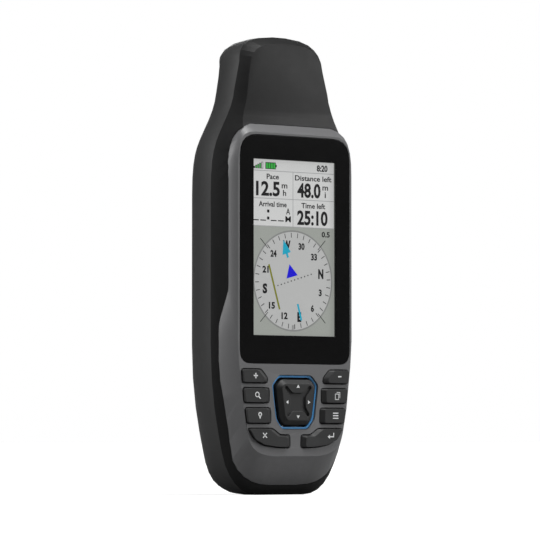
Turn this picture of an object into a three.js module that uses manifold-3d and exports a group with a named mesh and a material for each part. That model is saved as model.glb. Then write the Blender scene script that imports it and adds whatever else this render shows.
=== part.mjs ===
// Handheld satellite navigator: two-part moulded case with an antenna nub, framed display, keypad,
// rocker, and two round cells behind a latched door.
// Millimetres. X across, Y from front to back, Z along the case, origin under the middle of the box.

import * as THREE from 'three';
import { mergeVertices } from 'three/addons/utils/BufferGeometryUtils.js';
import Module from 'manifold-3d';

// ---------------------------------------------------------------- driving dimensions

// Case
const cellDiameter = 14.5;
const caseHeight = 172;
const caseWidth = 66.7;
const caseDepth = cellDiameter + 15.5; // room for the cells behind the keypad and the board
const bevelDepth = 8.4; // front face to the parting line, along the middle of the case
const footDrop = 1.0; // how much deeper the parting line runs at the foot
const crownDrop = 1.5; // and at the crown
const bevelRun = 6.15; // how far the bevel leans out on its way back
const chinRise = 14.4; // height of the front face's lower edge
const footHalfWidth = 11; // straight stretch of the lower end
const shoulderTop = 137.8; // where the case side turns up into the antenna nub
const neckTop = 151.5;
const neckWidth = 44.6;
const nubTopWidth = 39.4;
const nubFaceDepth = 4.0; // how far the nub's front lies behind the front face
const nubFaceLean = 0.0647; // backward lean of the nub's front, per millimetre of height
const nubBackStep = 2.5; // how far the nub's back lies in front of the case's back
const caseWall = 2.2;
const frontWall = 2.2;
const lipHeight = 2.2;
const lipThickness = 2.1;
const sealSize = 1.0;

// Bezel, window and display
const bezelDepth = 7.4;
const bezelTop = 138.2;
const bezelWall = 1.8;
const rimWidth = 1.05; // bezel showing beside the window
const windowBottom = 48.9;
const windowHeight = 85.1;
const windowThickness = 1.2;
const windowLedge = 2.2;
const displayWidth = 39.2;
const displayHeight = 65.3;
const displayBottom = 59.4;
const displayBorder = 1.9;
const displayThickness = 2.2;

// Keys and rocker
const keyTravel = 0.5;
const keyProud = 1.0;
const keyGap = 0.35;
const keyFlange = 0.7;
const padProud = 1.7;
const padGap = 0.8;
const padSlope = 1.6; // width of the slope round the pad's top
const padTilt = 4; // degrees each way
const ringWidth = 0.75;
const ringSink = 0.7;

// Power
const cellLength = 50.5;
const cellBottom = 24;
const cellGap = 1.9;
const cellSpacing = cellDiameter + cellGap;
const bayWall = 1.2;
const doorMargin = 4.95; // how far the door reaches past the inside of the battery bay
const doorBottom = 13;
const doorTop = 92;
const doorThickness = 2.4;

// Boards and small parts
const boardThickness = 1.2;
const screwShank = 2.0;
const screwHead = 3.8;
const screwHeadHeight = 1.5;
const bossDiameter = 6.4;

// Clearances
const seatGap = 0.15; // beside a piece seated in a pocket
const stackGap = 0.3; // between stacked pieces
const doorGap = 0.3;
const runningGap = 0.5; // around a piece that turns

// ---------------------------------------------------------------- solids

const wasm = await Module();
wasm.setup();

const frontY = -(caseDepth - padProud) / 2;
const depth = (d) => frontY + d; // Y of a plane d behind the front face

function solid(geometry) {
  const plain = geometry.clone();
  plain.deleteAttribute('normal');
  plain.deleteAttribute('uv');
  const merged = mergeVertices(plain, 1e-4);
  const mesh = new wasm.Mesh({
    numProp: 3,
    vertProperties: new Float32Array(merged.attributes.position.array),
    triVerts: new Uint32Array(merged.index.array),
  });
  return new wasm.Manifold(mesh);
}

function geometryOf(shape) {
  const mesh = shape.getMesh();
  const geometry = new THREE.BufferGeometry();
  geometry.setAttribute('position', new THREE.BufferAttribute(new Float32Array(mesh.vertProperties), 3));
  geometry.setIndex(new THREE.BufferAttribute(new Uint32Array(mesh.triVerts), 1));
  geometry.computeVertexNormals();
  return geometry;
}

// Outline drawn in X and Z, pushed back from depth d0 to depth d1.
function prism(outline, d0, d1) {
  const geometry = new THREE.ExtrudeGeometry(new THREE.Shape(outline), {
    depth: d1 - d0,
    bevelEnabled: false,
    steps: 1,
  });
  geometry.translate(0, 0, -depth(d1));
  geometry.rotateX(Math.PI / 2);
  return solid(geometry);
}

function box(x0, x1, d0, d1, z0, z1) {
  const geometry = new THREE.BoxGeometry(x1 - x0, d1 - d0, z1 - z0);
  geometry.translate((x0 + x1) / 2, depth((d0 + d1) / 2), (z0 + z1) / 2);
  return solid(geometry);
}

// Round bar pointing back, from depth d0 to d1; d1's end may have another radius.
function bar(x, z, radius, d0, d1, sides = 20, endRadius = radius) {
  const geometry = new THREE.CylinderGeometry(endRadius, radius, d1 - d0, sides);
  geometry.translate(x, depth((d0 + d1) / 2), z);
  return solid(geometry);
}

// Round bar standing up, from z0 to z1.
function post(x, d, radius, z0, z1, sides = 20) {
  const geometry = new THREE.CylinderGeometry(radius, radius, z1 - z0, sides);
  geometry.rotateX(Math.PI / 2);
  geometry.translate(x, depth(d), (z0 + z1) / 2);
  return solid(geometry);
}

// Skin over rings of equal length; each ring is a right half, mirrored to the left.
function loft(halfRings) {
  const count = halfRings[0].length;
  const around = 2 * count;
  const positions = [];
  for (const half of halfRings) {
    for (const p of half) positions.push(p.x, p.y, p.z);
    for (const p of [...half].reverse()) positions.push(-p.x, p.y, p.z);
  }
  const index = [];
  for (let ring = 0; ring + 1 < halfRings.length; ring++) {
    for (let i = 0; i < around; i++) {
      const a = ring * around + i;
      const b = ring * around + ((i + 1) % around);
      index.push(a, a + around, b + around, a, b + around, b);
    }
  }
  const last = (halfRings.length - 1) * around;
  for (let i = 0; i + 1 < count; i++) {
    const left = around - 1 - i;
    index.push(left, i, i + 1, left, i + 1, left - 1);
    index.push(last + left, last + i + 1, last + i, last + left, last + left - 1, last + i + 1);
  }
  const geometry = new THREE.BufferGeometry();
  geometry.setAttribute('position', new THREE.Float32BufferAttribute(positions, 3));
  geometry.setIndex(index);
  return solid(geometry);
}

// Ring at one depth, or at a list of depths, one for each point.
const ringAt = (points, d) => points.map((p, i) => new THREE.Vector3(p.x, depth(d[i] ?? d), p.y));

// ---------------------------------------------------------------- outlines

// Points along a path, with the given number of steps on each of its curves.
function sample(path, steps) {
  const points = path.curves.flatMap((curve, i) => curve.getPoints(steps[i]).slice(i ? 1 : 0));
  return points.map((p) => new THREE.Vector2(p.x, p.y));
}

const mirrored = (half) => [...half, ...[...half].reverse().map((p) => new THREE.Vector2(-p.x, p.y))];
const flipped = (outline) => outline.map((p) => new THREE.Vector2(-p.x, p.y)).reverse();

// A closed outline moved outwards by a distance, or inwards where it is negative.
function offset(outline, distance) {
  const count = outline.length;
  return outline.map((p, i) => {
    const before = outline[(i + count - 1) % count];
    const after = outline[(i + 1) % count];
    const into = p.clone().sub(before).normalize();
    const out = after.clone().sub(p).normalize();
    const mean = into.clone().add(out).normalize();
    const stretch = 1 / Math.max(0.5, mean.dot(out));
    const reach = typeof distance === 'function' ? distance(p) : distance;
    return new THREE.Vector2(p.x + mean.y * reach * stretch, p.y - mean.x * reach * stretch);
  });
}

const offsetHalf = (half, distance) => offset(mirrored(half), distance).slice(0, half.length);

// Corners of an outline rounded with a quadratic curve that starts `radius` before each corner,
// or nearer where the sides are too short for that.
function rounded(corners, radius, steps = 3) {
  const count = corners.length;
  return corners.flatMap(([x, z, own], i) => {
    const here = new THREE.Vector2(x, z);
    const before = new THREE.Vector2(...corners[(i + count - 1) % count].slice(0, 2));
    const after = new THREE.Vector2(...corners[(i + 1) % count].slice(0, 2));
    const shorter = Math.min(before.distanceTo(here), after.distanceTo(here));
    const r = Math.min(own ?? radius, 0.45 * shorter);
    const start = here.clone().add(before.sub(here).setLength(r));
    const end = here.clone().add(after.sub(here).setLength(r));
    return new THREE.QuadraticBezierCurve(start, here, end).getPoints(steps);
  });
}

function rectangle(halfWidth, z0, z1, radius, steps = 4) {
  const corners = [[halfWidth, z0], [halfWidth, z1], [-halfWidth, z1], [-halfWidth, z0]];
  return rounded(corners, radius, steps);
}

const halfWidth = caseWidth / 2;
const faceHalfWidth = halfWidth - bevelRun;
const halfSteps = [6, 4, 1, 6, 4, 1, 5, 1];

// Right half of the case outline at the parting line, from the foot up to the crown.
function caseHalf() {
  const w = halfWidth;
  const neck = neckWidth / 2;
  const nub = nubTopWidth / 2;
  const path = new THREE.Path();
  path.moveTo(footHalfWidth, 0);
  path.bezierCurveTo(footHalfWidth + 8, 0, w - 9.0, 5.5, w - 5.6, 16);
  path.bezierCurveTo(w - 2.9, 24, w, 38.5, w, 56);
  path.lineTo(w, 112);
  path.bezierCurveTo(w, 127, w - 1.9, 130.8, w - 5.8, shoulderTop);
  path.bezierCurveTo(neck + 1.9, shoulderTop + 6, neck + 0.7, neckTop - 5, neck, neckTop);
  path.lineTo(nub, caseHeight - 10);
  path.bezierCurveTo(nub - 0.3, caseHeight - 6.5, nub - 1.1, caseHeight - 2.4, nub - 9.9, caseHeight - 0.7);
  path.lineTo(3, caseHeight);
  return sample(path, halfSteps);
}

// The same half where the bevel meets the plane of the front face. Round the nub, the face cuts it off.
function faceHalf() {
  const w = faceHalfWidth;
  const neck = neckWidth / 2;
  const nub = nubTopWidth / 2;
  const path = new THREE.Path();
  path.moveTo(footHalfWidth - 1, chinRise);
  path.bezierCurveTo(w - 10.7, chinRise + 0.3, w - 6.4, chinRise + 1.9, w - 4.8, chinRise + 7.1);
  path.bezierCurveTo(w - 3.3, chinRise + 14.1, w - 0.2, 46, w, 58);
  path.lineTo(w, 120);
  path.bezierCurveTo(w, 127, w - 3.7, 131.5, w - 7.3, shoulderTop + 0.2);
  path.bezierCurveTo(neck - 4.4, shoulderTop + 4.5, neck - 6.2, neckTop - 4.5, neck - 7.4, neckTop);
  path.lineTo(nub - 7.0, caseHeight - 10);
  path.bezierCurveTo(nub - 7.6, caseHeight - 8.4, nub - 9.4, caseHeight - 7.2, nub - 13.2, caseHeight - 6.9);
  path.lineTo(3, caseHeight - 6.7);
  return sample(path, halfSteps);
}

const upperSteps = [6, 4, 1, 6, 1];

// Bezel's front edge: as the case, but closing over the window.
function bezelFaceHalf() {
  const w = faceHalfWidth;
  const top = windowBottom + windowHeight + rimWidth;
  const path = new THREE.Path();
  path.moveTo(footHalfWidth - 1, chinRise);
  path.bezierCurveTo(w - 10.7, chinRise + 0.3, w - 6.4, chinRise + 1.9, w - 4.8, chinRise + 7.1);
  path.bezierCurveTo(w - 3.3, chinRise + 14.1, w - 0.2, 46, w, 58);
  path.lineTo(w, top - 15);
  path.bezierCurveTo(w, top - 4, w - 1.7, top, w - 8.3, top);
  path.lineTo(3, top);
  return sample(path, upperSteps);
}

// Bezel's own bevel carried back to the parting line, where its outline has already cut it off.
function bezelBackHalf() {
  const w = halfWidth;
  const top = windowBottom + windowHeight + rimWidth + 8.7;
  const path = new THREE.Path();
  path.moveTo(footHalfWidth, 0);
  path.bezierCurveTo(footHalfWidth + 8, 0, w - 9.0, 5.5, w - 5.6, 16);
  path.bezierCurveTo(w - 2.9, 24, w, 38.5, w, 56);
  path.lineTo(w, top - 31.8);
  path.bezierCurveTo(w, top - 9.8, w - 2.3, top, w - 12.3, top);
  path.lineTo(3, top);
  return sample(path, upperSteps);
}

// Bezel seen from the front: narrow beside the window, wider round the keys.
function bezelOutlineHalf() {
  const upper = faceHalfWidth + 2.04;
  const lower = faceHalfWidth + 4.3;
  const path = new THREE.Path();
  path.moveTo(6, 3.7);
  path.bezierCurveTo(15, 3.7, lower - 10.3, 6.5, lower - 7.2, 12.8);
  path.bezierCurveTo(lower - 5.1, 18.2, lower - 2.9, 30, lower - 0.75, 42.7);
  path.bezierCurveTo(lower - 0.2, 47, lower, 52, lower, 60);
  path.bezierCurveTo(lower, 62.5, lower - 0.1, 63.5, lower - 0.5, 66);
  path.lineTo(upper + 0.3, 74.2);
  path.bezierCurveTo(upper + 0.1, 75.3, upper, 76, upper, 77.5);
  path.lineTo(upper, bezelTop - 18.2);
  path.bezierCurveTo(upper, bezelTop - 9.2, upper - 3.8, bezelTop - 1, upper - 10.2, bezelTop - 0.1);
  path.lineTo(3, bezelTop);
  return sample(path, [5, 4, 2, 2, 1, 2, 1, 6, 1]);
}

const windowHalfWidth = faceHalfWidth - rimWidth;
function windowOutline() {
  const top = windowBottom + windowHeight;
  const w = windowHalfWidth;
  return rounded([[w, windowBottom, 5], [w, top, 8.2], [-w, top, 8.2], [-w, windowBottom, 5]], 5, 5);
}

// Keys on the right; the left ones are their mirror images. Outer ends follow the face's edge.
const rightKeys = {
  zoom_out: [[13.3, 41.7], [25.0, 41.7], [25.4, 46.7], [16.3, 46.7], [13.3, 43.6]],
  page: [[12.5, 34.3], [24.2, 34.3], [24.8, 39.7], [12.5, 39.7]],
  menu: [[11.7, 26.7], [23.0, 26.7], [23.8, 32.3], [11.9, 32.3]],
  enter: [
    [2.6, 17.6], [9.0, 17.8], [15.2, 18.6], [19.6, 20.6, 2.2],
    [22.4, 24.7], [10.8, 24.7], [7.2, 22.3], [2.8, 22.3],
  ],
};
const leftKeys = { zoom_in: 'zoom_out', find: 'page', mark: 'menu', quit: 'enter' };
const keyOutline = (corners) => rounded(corners, 0.9, 2);

// Rocker outline: eight sides with cut corners, grown by a distance (or shrunk where it is negative).
function rockerOutline(grow) {
  const right = [[6.3, 24.6], [9.1, 28.0], [10.95, 41.0], [7.65, 44.55]];
  const left = [...right].reverse().map(([x, z]) => [-x, z]);
  const corners = [...right, ...left].map(([x, z]) => new THREE.Vector2(x, z));
  return rounded(offset(corners, grow).map((p) => [p.x, p.y]), 1.2, 3);
}
const padOutline = (grow = 0) => rockerOutline(grow - ringWidth - padGap);
const padCentreHeight = 34.6;

// ---------------------------------------------------------------- case shape

const { lerp, smoothstep } = THREE.MathUtils;

const roundStart = bevelDepth + 6.6; // depth where the back starts to round in

// How round the back is at a height: how far it pulls in, where that starts, and where the back lies.
function backRound(z) {
  const fromFoot = smoothstep(z, 1, 22);
  const toNub = smoothstep(z, shoulderTop - 1, neckTop + 2);
  const toCrown = smoothstep(z, caseHeight - 20, caseHeight - 4);
  return {
    pull: lerp(lerp(9, 15, fromFoot), lerp(11, 6.2, toCrown), toNub),
    start: roundStart + lerp(lerp(2, 0, fromFoot), 0.5 * toCrown, toNub),
    back: caseDepth - nubBackStep * toNub,
  };
}

// Depth of the parting line at a height: level along the middle, deeper towards both ends.
function partingDepth(z) {
  const toFoot = 1 - smoothstep(z, 9, 23);
  const toCrown = THREE.MathUtils.clamp((z - neckTop) / (caseHeight - 4 - neckTop), 0, 1);
  return bevelDepth + footDrop * toFoot + crownDrop * toCrown ** 3;
}

// The parting line's depth at each point of a half outline, or so much further back.
const parting = (half, further = 0) => half.map((p) => partingDepth(p.y) + further);

// Rings of the rounded back, starting `inside` in from the outer skin.
function backRings(half, inside, firstDepth) {
  const rings = [ringAt(offsetHalf(half, -inside), firstDepth)];
  const turns = 5;
  for (let k = 0; k <= turns; k++) {
    const angle = (k / turns) * (Math.PI / 2);
    const pulled = offsetHalf(half, (p) => -inside - backRound(p.y).pull * (1 - Math.cos(angle)));
    rings.push(pulled.map((p, i) => {
      const { start, back } = backRound(half[i].y);
      const d = start + (back - inside - start) * Math.sin(angle);
      return new THREE.Vector3(p.x, depth(d), p.y);
    }));
  }
  return rings;
}

// Side view of the space in front of the nub: a leaning face with a hollow curve at its foot.
function nubClearance() {
  const faceAt = (z) => nubFaceDepth + nubFaceLean * (z - (bezelTop + 3.8));
  const profile = new THREE.Path();
  profile.moveTo(-5, bezelTop - 2);
  profile.lineTo(2.4, bezelTop - 2);
  profile.lineTo(2.9, bezelTop - 0.4);
  profile.quadraticCurveTo(3.6, bezelTop + 1.6, faceAt(bezelTop + 5), bezelTop + 5);
  profile.lineTo(faceAt(caseHeight + 3), caseHeight + 3);
  profile.lineTo(-5, caseHeight + 3);
  const points = sample(profile, [1, 1, 4, 1, 1]);
  const geometry = new THREE.ExtrudeGeometry(new THREE.Shape(points), {
    depth: caseWidth,
    bevelEnabled: false,
    steps: 1,
  });
  // Drawn as depth and height, pushed along the width: turn (d, z, x) into (x, y, z).
  geometry.applyMatrix4(new THREE.Matrix4().makeBasis(
    new THREE.Vector3(0, 1, 0),
    new THREE.Vector3(0, 0, 1),
    new THREE.Vector3(1, 0, 0),
  ));
  geometry.translate(-caseWidth / 2, frontY, 0);
  return solid(geometry);
}

const caseLine = caseHalf();
const faceLine = faceHalf();
const bezelLine = bezelOutlineHalf();
const at = (half, move) => mirrored(offsetHalf(half, move));

const screwPlaces = [
  [halfWidth - 12.15, 11.4],
  [halfWidth - 7.15, 98],
  [nubTopWidth / 2 - 6.2, caseHeight - 11],
].flatMap(([x, z]) => [[x, z], [-x, z]]);
const screwSeat = 17.5; // depth of the seat under each screw head

// Slab that follows the parting line: the case outline moved out by `grow`, between two depths from it.
function band(grow, from, to) {
  const half = offsetHalf(caseLine, grow);
  return loft([ringAt(half, parting(caseLine, from)), ringAt(half, parting(caseLine, to))]);
}

// ---------------------------------------------------------------- front half

// Bezel's bevelled block, moved in by a distance all round.
function bezelBlock(inside) {
  const back = bezelBackHalf();
  return loft([
    ringAt(offsetHalf(bezelFaceHalf(), -inside), 0),
    ringAt(offsetHalf(back, -inside), parting(back)),
  ]);
}

const bezelHollow = (clearance) => bezelBlock(bezelWall * 1.2 + clearance);

function frontBezel() {
  const outer = bezelBlock(0);
  const hollow = bezelHollow(0).intersect(prism(at(bezelLine, -bezelWall), frontWall, bezelDepth + 1));
  let bezel = outer.intersect(prism(mirrored(bezelLine), -1, bezelDepth)).subtract(hollow);
  bezel = bezel.subtract(prism(offset(windowOutline(), seatGap), -1, windowThickness + 0.1));
  bezel = bezel.subtract(prism(offset(windowOutline(), -windowLedge), -1, frontWall + 1));
  bezel = bezel.subtract(prism(rockerOutline(seatGap), -1, frontWall + 1));
  for (const corners of Object.values(rightKeys)) {
    const hole = offset(keyOutline(corners), keyGap);
    bezel = bezel.subtract(prism(hole, -1, frontWall + 1));
    bezel = bezel.subtract(prism(flipped(hole), -1, frontWall + 1));
  }
  return bezel;
}

const displayWindow = () => prism(windowOutline(), 0, windowThickness);

function displayPanel() {
  const w = displayWidth / 2 + displayBorder;
  const z0 = displayBottom - 3 * displayBorder;
  const z1 = displayBottom + displayHeight + displayBorder;
  const d = windowThickness + stackGap;
  return box(-w, w, d, d + displayThickness, z0, z1);
}

function displayTray() {
  const w = displayWidth / 2 + displayBorder;
  const z0 = displayBottom - 3 * displayBorder;
  const z1 = displayBottom + displayHeight + displayBorder;
  const d = windowThickness + stackGap;
  const floor = d + displayThickness + stackGap;
  const rim = 1.1;
  const tray = box(-w - rim, w + rim, d + 0.8, floor + 1, z0 - rim, z1 + rim);
  return tray.subtract(box(-w - seatGap, w + seatGap, d, floor, z0 - seatGap, z1 + seatGap));
}

function rockerRing() {
  const ring = prism(rockerOutline(0), ringSink, frontWall);
  return ring.subtract(prism(rockerOutline(-ringWidth), 0, frontWall + 1));
}

const stackTop = frontWall + stackGap; // flanges of the keys start here
const matFront = stackTop + 0.6 + keyTravel + stackGap;
const pivotDepth = 3.6;

// Four raised fields round a sunken cross whose arms run to the corners.
function padCross() {
  const corners = [
    [3.6, -2.0], [3.6, 1.9], [6.6, 5.3], [5.6, 6.3], [2.6, 3.4],
    [-2.6, 3.4], [-5.6, 6.3], [-6.6, 5.3], [-3.6, 1.9],
    [-3.6, -2.0], [-5.6, -4.7], [-4.6, -5.7], [-2.4, -3.4],
    [2.4, -3.4], [4.6, -5.7], [5.6, -4.7],
  ].map(([x, z]) => [x, z + padCentreHeight]);
  return prism(rounded(corners, 0.4, 1), -padProud - 1, -padProud + 0.7);
}

function rockerPad() {
  const body = stack([
    { outline: padOutline(-padSlope), d: -padProud },
    { outline: padOutline(), d: -0.2 },
    { outline: padOutline(), d: 1.2 },
  ], padCentreHeight);
  const stem = bar(0, padCentreHeight, 2.0, 1.0, pivotDepth - 0.9, 16);
  return body.add(stem).subtract(padCross());
}

// Skin over outlines of equal length round one centre, from the front outline to the back one.
function stack(levels, centreHeight) {
  const count = levels[0].outline.length;
  const positions = levels.flatMap(({ outline, d }) => outline.flatMap((p) => [p.x, depth(d), p.y]));
  const last = (levels.length - 1) * count;
  const frontCentre = levels.length * count;
  positions.push(0, depth(levels[0].d), centreHeight, 0, depth(levels.at(-1).d), centreHeight);
  const index = [];
  for (let i = 0; i < count; i++) {
    const j = (i + 1) % count;
    for (let row = 0; row < last; row += count) {
      index.push(row + i, row + i + count, row + j + count, row + i, row + j + count, row + j);
    }
    index.push(frontCentre, i, j, frontCentre + 1, last + j, last + i);
  }
  const geometry = new THREE.BufferGeometry();
  geometry.setAttribute('position', new THREE.Float32BufferAttribute(positions, 3));
  geometry.setIndex(index);
  return solid(geometry);
}

const rockerPivot = () => bar(0, padCentreHeight, 3.0, pivotDepth - 0.5, pivotDepth + 0.5, 16);

function key(outline) {
  const cap = prism(outline, -keyProud, stackTop + 0.6);
  const flange = prism(offset(outline, keyFlange), stackTop, stackTop + 0.6);
  return cap.add(flange.intersect(bezelHollow(seatGap)));
}

function keypadOutline() {
  const corners = [
    [3, 15.6], [16, 16.2], [22.2, 20, 3], [24.6, 30], [26.2, 47.4], [-26.2, 47.4], [-24.6, 30],
    [-22.2, 20, 3], [-16, 16.2], [-3, 15.6],
  ];
  return rounded(corners, 1.2, 2);
}

function keySheet(front, thickness, opening) {
  const sheet = prism(keypadOutline(), front, front + thickness).intersect(bezelHollow(seatGap));
  return sheet.subtract(bar(0, padCentreHeight, opening, front - 1, front + thickness + 1, 20));
}

const matThickness = 0.8;
const keyMat = () => keySheet(matFront, matThickness, 4.4);
const domeFront = matFront + matThickness + stackGap;
const domeSheet = () => keySheet(domeFront, 0.3, 4.4);
const keyBoardFront = domeFront + 0.3 + stackGap;
const keyBoard = () => keySheet(keyBoardFront, boardThickness, 1.2);

function frontCase() {
  const shelf = bezelDepth + stackGap;
  const outer = loft([ringAt(faceLine, 0), ringAt(caseLine, parting(caseLine))]).subtract(nubClearance());
  const inner = at(caseLine, -(caseWall + stackGap + lipThickness));
  const lip = band(-(caseWall + stackGap), -0.5, lipHeight);
  const seat = prism(at(bezelLine, seatGap), -1, shelf);
  let shell = outer.add(lip).subtract(seat).subtract(prism(inner, shelf - 1.2, bevelDepth + 10));
  const nubRoom = prism(inner, nubFaceDepth + 3.4, bevelDepth + 10);
  shell = shell.subtract(nubRoom.subtract(box(-caseWidth, caseWidth, 0, 30, 0, bezelTop + 2)));
  for (const [x, z] of screwPlaces) {
    const arm = prism(bossArm(x, z), shelf, bossFront(z));
    shell = shell.add(arm.intersect(prism(at(caseLine, -(caseWall + stackGap)), 0, 20)));
    shell = shell.subtract(bar(x, z, screwShank / 2 + 0.1, shelf + 0.6, 20, 12));
  }
  return shell;
}

// Depth where the two halves' bosses meet: level with the deepest part of the lip beside them.
function bossFront(z) {
  const r = bossDiameter / 2;
  return Math.max(partingDepth(z - r), partingDepth(z + r)) + lipHeight;
}

// Boss round a screw, carried outwards to the case's side.
function bossArm(x, z) {
  const r = bossDiameter / 2;
  const out = Math.sign(x) * halfWidth;
  const [a, b] = [Math.min(x - Math.sign(x) * r, out), Math.max(x - Math.sign(x) * r, out)];
  return rounded([[a, z - r], [b, z - r], [b, z + r], [a, z + r]], 1, 2);
}

// ---------------------------------------------------------------- back half

const bayHalfWidth = (cellSpacing + cellDiameter) / 2 + 0.6;
const doorOutline = (grow) =>
  rectangle(bayHalfWidth + doorMargin + grow, doorBottom - grow, doorTop + grow, 5, 4);
const bayBottom = cellBottom - 5;
const bayTop = cellBottom + cellLength + 2.5;
const bayBack = caseDepth - doorThickness - stackGap;
const bayFront = bayBack - cellDiameter - 1.4;
const cellDepth = bayBack - 0.6 - cellDiameter / 2;

const usbPlace = { z: 112, width: 9, height: 4 };
const capWidth = 15;
const capHeight = 11;
const capThickness = 2.0;

const outerBack = () => loft(backRings(caseLine, 0, parting(caseLine, 0.06)));

function backCase() {
  let shell = outerBack().subtract(loft(backRings(caseLine, caseWall, bevelDepth - 1)));
  shell = shell.subtract(band(-(caseWall - sealSize - 0.2), -1, sealSize + 0.2));
  const skin = outerBack();
  for (const [x, z] of screwPlaces) {
    const seat = bossFront(z) + stackGap;
    const boss = bar(x, z, bossDiameter / 2, seat, caseDepth, 16).intersect(skin);
    shell = shell.add(boss);
    shell = shell.subtract(bar(x, z, screwShank / 2 + 0.2, seat - 1, screwSeat + 1, 12));
    shell = shell.subtract(bar(x, z, screwHead / 2 + 0.3, screwSeat, caseDepth + 1, 16));
  }
  shell = shell.subtract(prism(doorOutline(doorGap), caseDepth - doorThickness - doorGap, caseDepth + 2));
  const bayReach = bayHalfWidth + 1.6;
  shell = shell.subtract(box(-bayReach, bayReach, bayFront, caseDepth, bayBottom - 1.6, bayTop + 1.6));
  const capHole = rectangle(capWidth / 2 + doorGap, usbPlace.z - capHeight / 2 - doorGap,
    usbPlace.z + capHeight / 2 + doorGap, 2, 3);
  const pocketDepth = caseDepth - capThickness - doorGap;
  shell = shell.add(prism(offset(capHole, 1.5), pocketDepth - 1.2, caseDepth - 1));
  shell = shell.subtract(prism(capHole, pocketDepth, caseDepth + 2));
  const { z, width, height } = usbPlace;
  const [z0, z1] = [z - height / 2, z + height / 2];
  shell = shell.subtract(box(-width / 2, width / 2, pocketDepth - 4, caseDepth, z0, z1));
  return shell.subtract(buttonHole());
}

// Power button in the right side wall.
const buttonPlace = { z: 108, d: bevelDepth + 6.2, halfHeight: 5.5, halfDepth: 2.2 };

function sideBlock(x0, x1, grow) {
  const { z, d, halfHeight, halfDepth } = buttonPlace;
  const [deep, high] = [halfDepth + grow, halfHeight + grow];
  return box(x0, x1, d - deep, d + deep, z - high, z + high);
}

const buttonHole = () => sideBlock(halfWidth - caseWall - 1, halfWidth + 1, keyGap);

const buttonRoot = halfWidth - caseWall - 3 * stackGap; // the wall curves in a little behind the button

function powerButton() {
  const inside = buttonRoot;
  const cap = sideBlock(inside, halfWidth - 0.1, 0);
  return cap.add(sideBlock(inside - 0.6, inside, 0.9));
}

function powerSwitch() {
  const inside = buttonRoot - 0.6 - keyTravel - stackGap;
  return sideBlock(inside - 2.2, inside, -0.6);
}

function caseSeal() {
  const outer = band(-(caseWall - sealSize), 0.1, 0.1 + sealSize);
  return outer.subtract(prism(at(caseLine, -caseWall), 0, 20));
}

function batteryBay() {
  const w = bayHalfWidth + bayWall;
  const bay = box(-w, w, bayFront - bayWall, bayBack, bayBottom - bayWall, bayTop + bayWall);
  return bay.subtract(box(-bayHalfWidth, bayHalfWidth, bayFront, caseDepth, bayBottom, bayTop));
}

function batteryCell(side) {
  const x = (side * cellSpacing) / 2;
  const r = cellDiameter / 2;
  const can = post(x, cellDepth, r, cellBottom, cellBottom + cellLength - 1.2, 28);
  const tip = side > 0
    ? post(x, cellDepth, 2.75, cellBottom + cellLength - 1.3, cellBottom + cellLength, 16)
    : post(x, cellDepth, 2.75, cellBottom - 1.0, cellBottom + 0.1, 16);
  return can.add(tip);
}

function contactPlate(side) {
  const x = (side * cellSpacing) / 2;
  return box(x - 5, x + 5, cellDepth - 5, cellDepth + 5, bayTop - 0.8, bayTop - 0.3);
}

function bridgePlate() {
  const w = cellSpacing / 2 + 5;
  return box(-w, w, cellDepth - 5, cellDepth + 5, bayBottom + 0.3, bayBottom + 0.8);
}

// Coil along +Z between two heights, narrowing towards its end.
function coil(x, d, z0, z1, r0, r1, wire, turns, steps, sides) {
  const points = [];
  for (let i = 0; i <= steps; i++) {
    const share = i / steps;
    const angle = share * turns * 2 * Math.PI;
    const radius = lerp(r0, r1, share);
    const [across, back] = [radius * Math.cos(angle), radius * Math.sin(angle)];
    points.push(new THREE.Vector3(x + across, depth(d) + back, lerp(z0, z1, share)));
  }
  const section = new THREE.Shape(Array.from({ length: sides }, (_, i) => {
    const angle = (i / sides) * 2 * Math.PI;
    return new THREE.Vector2((wire / 2) * Math.cos(angle), (wire / 2) * Math.sin(angle));
  }));
  const geometry = new THREE.ExtrudeGeometry(section, {
    extrudePath: new THREE.CatmullRomCurve3(points),
    steps,
    bevelEnabled: false,
  });
  return solid(geometry);
}

const cellSpring = () =>
  coil(cellSpacing / 2, cellDepth, bayBottom + 1.3, cellBottom - 0.6, 4.2, 2.4, 0.6, 3, 42, 5);

const latchPlace = { z: 24, radius: 8.5 };
const latchDepth = 1.8;

function batteryDoor() {
  const plate = outerBack().intersect(prism(doorOutline(0), caseDepth - doorThickness, caseDepth + 1));
  const { z, radius } = latchPlace;
  const well = bar(0, z, radius + runningGap, caseDepth - latchDepth, caseDepth + 1, 36);
  const hole = bar(0, z, 2.6 + runningGap, 0, caseDepth + 1, 24);
  return plate.subtract(well).subtract(hole);
}

function latchCam() {
  const { z, radius } = latchPlace;
  const front = caseDepth - latchDepth + stackGap;
  const disc = bar(0, z, radius, front, caseDepth - 0.1, 36);
  const ringGroove = prism(dRing(0.35), caseDepth - 1.25, caseDepth + 1);
  const shaft = bar(0, z, 2.6, caseDepth - doorThickness - 0.2, front + 0.1, 24);
  return disc.add(shaft).subtract(ringGroove);
}

// D-shaped handle outline, grown by a clearance.
function dRing(grow) {
  const { z, radius } = latchPlace;
  const outer = new THREE.Shape();
  const r = radius - 1.4 + grow;
  outer.absarc(0, z, r, Math.PI * 1.0, Math.PI * 2.0, false);
  outer.lineTo(r, z + 2.2 + grow);
  outer.lineTo(-r, z + 2.2 + grow);
  return outer.getPoints(12).filter((p, i, all) => !i || p.distanceTo(all[i - 1]) > 1e-3);
}

function latchRing() {
  const { z, radius } = latchPlace;
  const band = prism(dRing(0), caseDepth - 1.0, caseDepth);
  const r = radius - 1.4 - 1.7;
  const corners = [[-r + 1.4, z - r + 1.2], [r - 1.4, z - r + 1.2], [r, z + 1.2], [-r, z + 1.2]];
  const opening = rounded(corners, 1.0, 3);
  return band.subtract(prism(opening, caseDepth - 3, caseDepth + 2));
}

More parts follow.
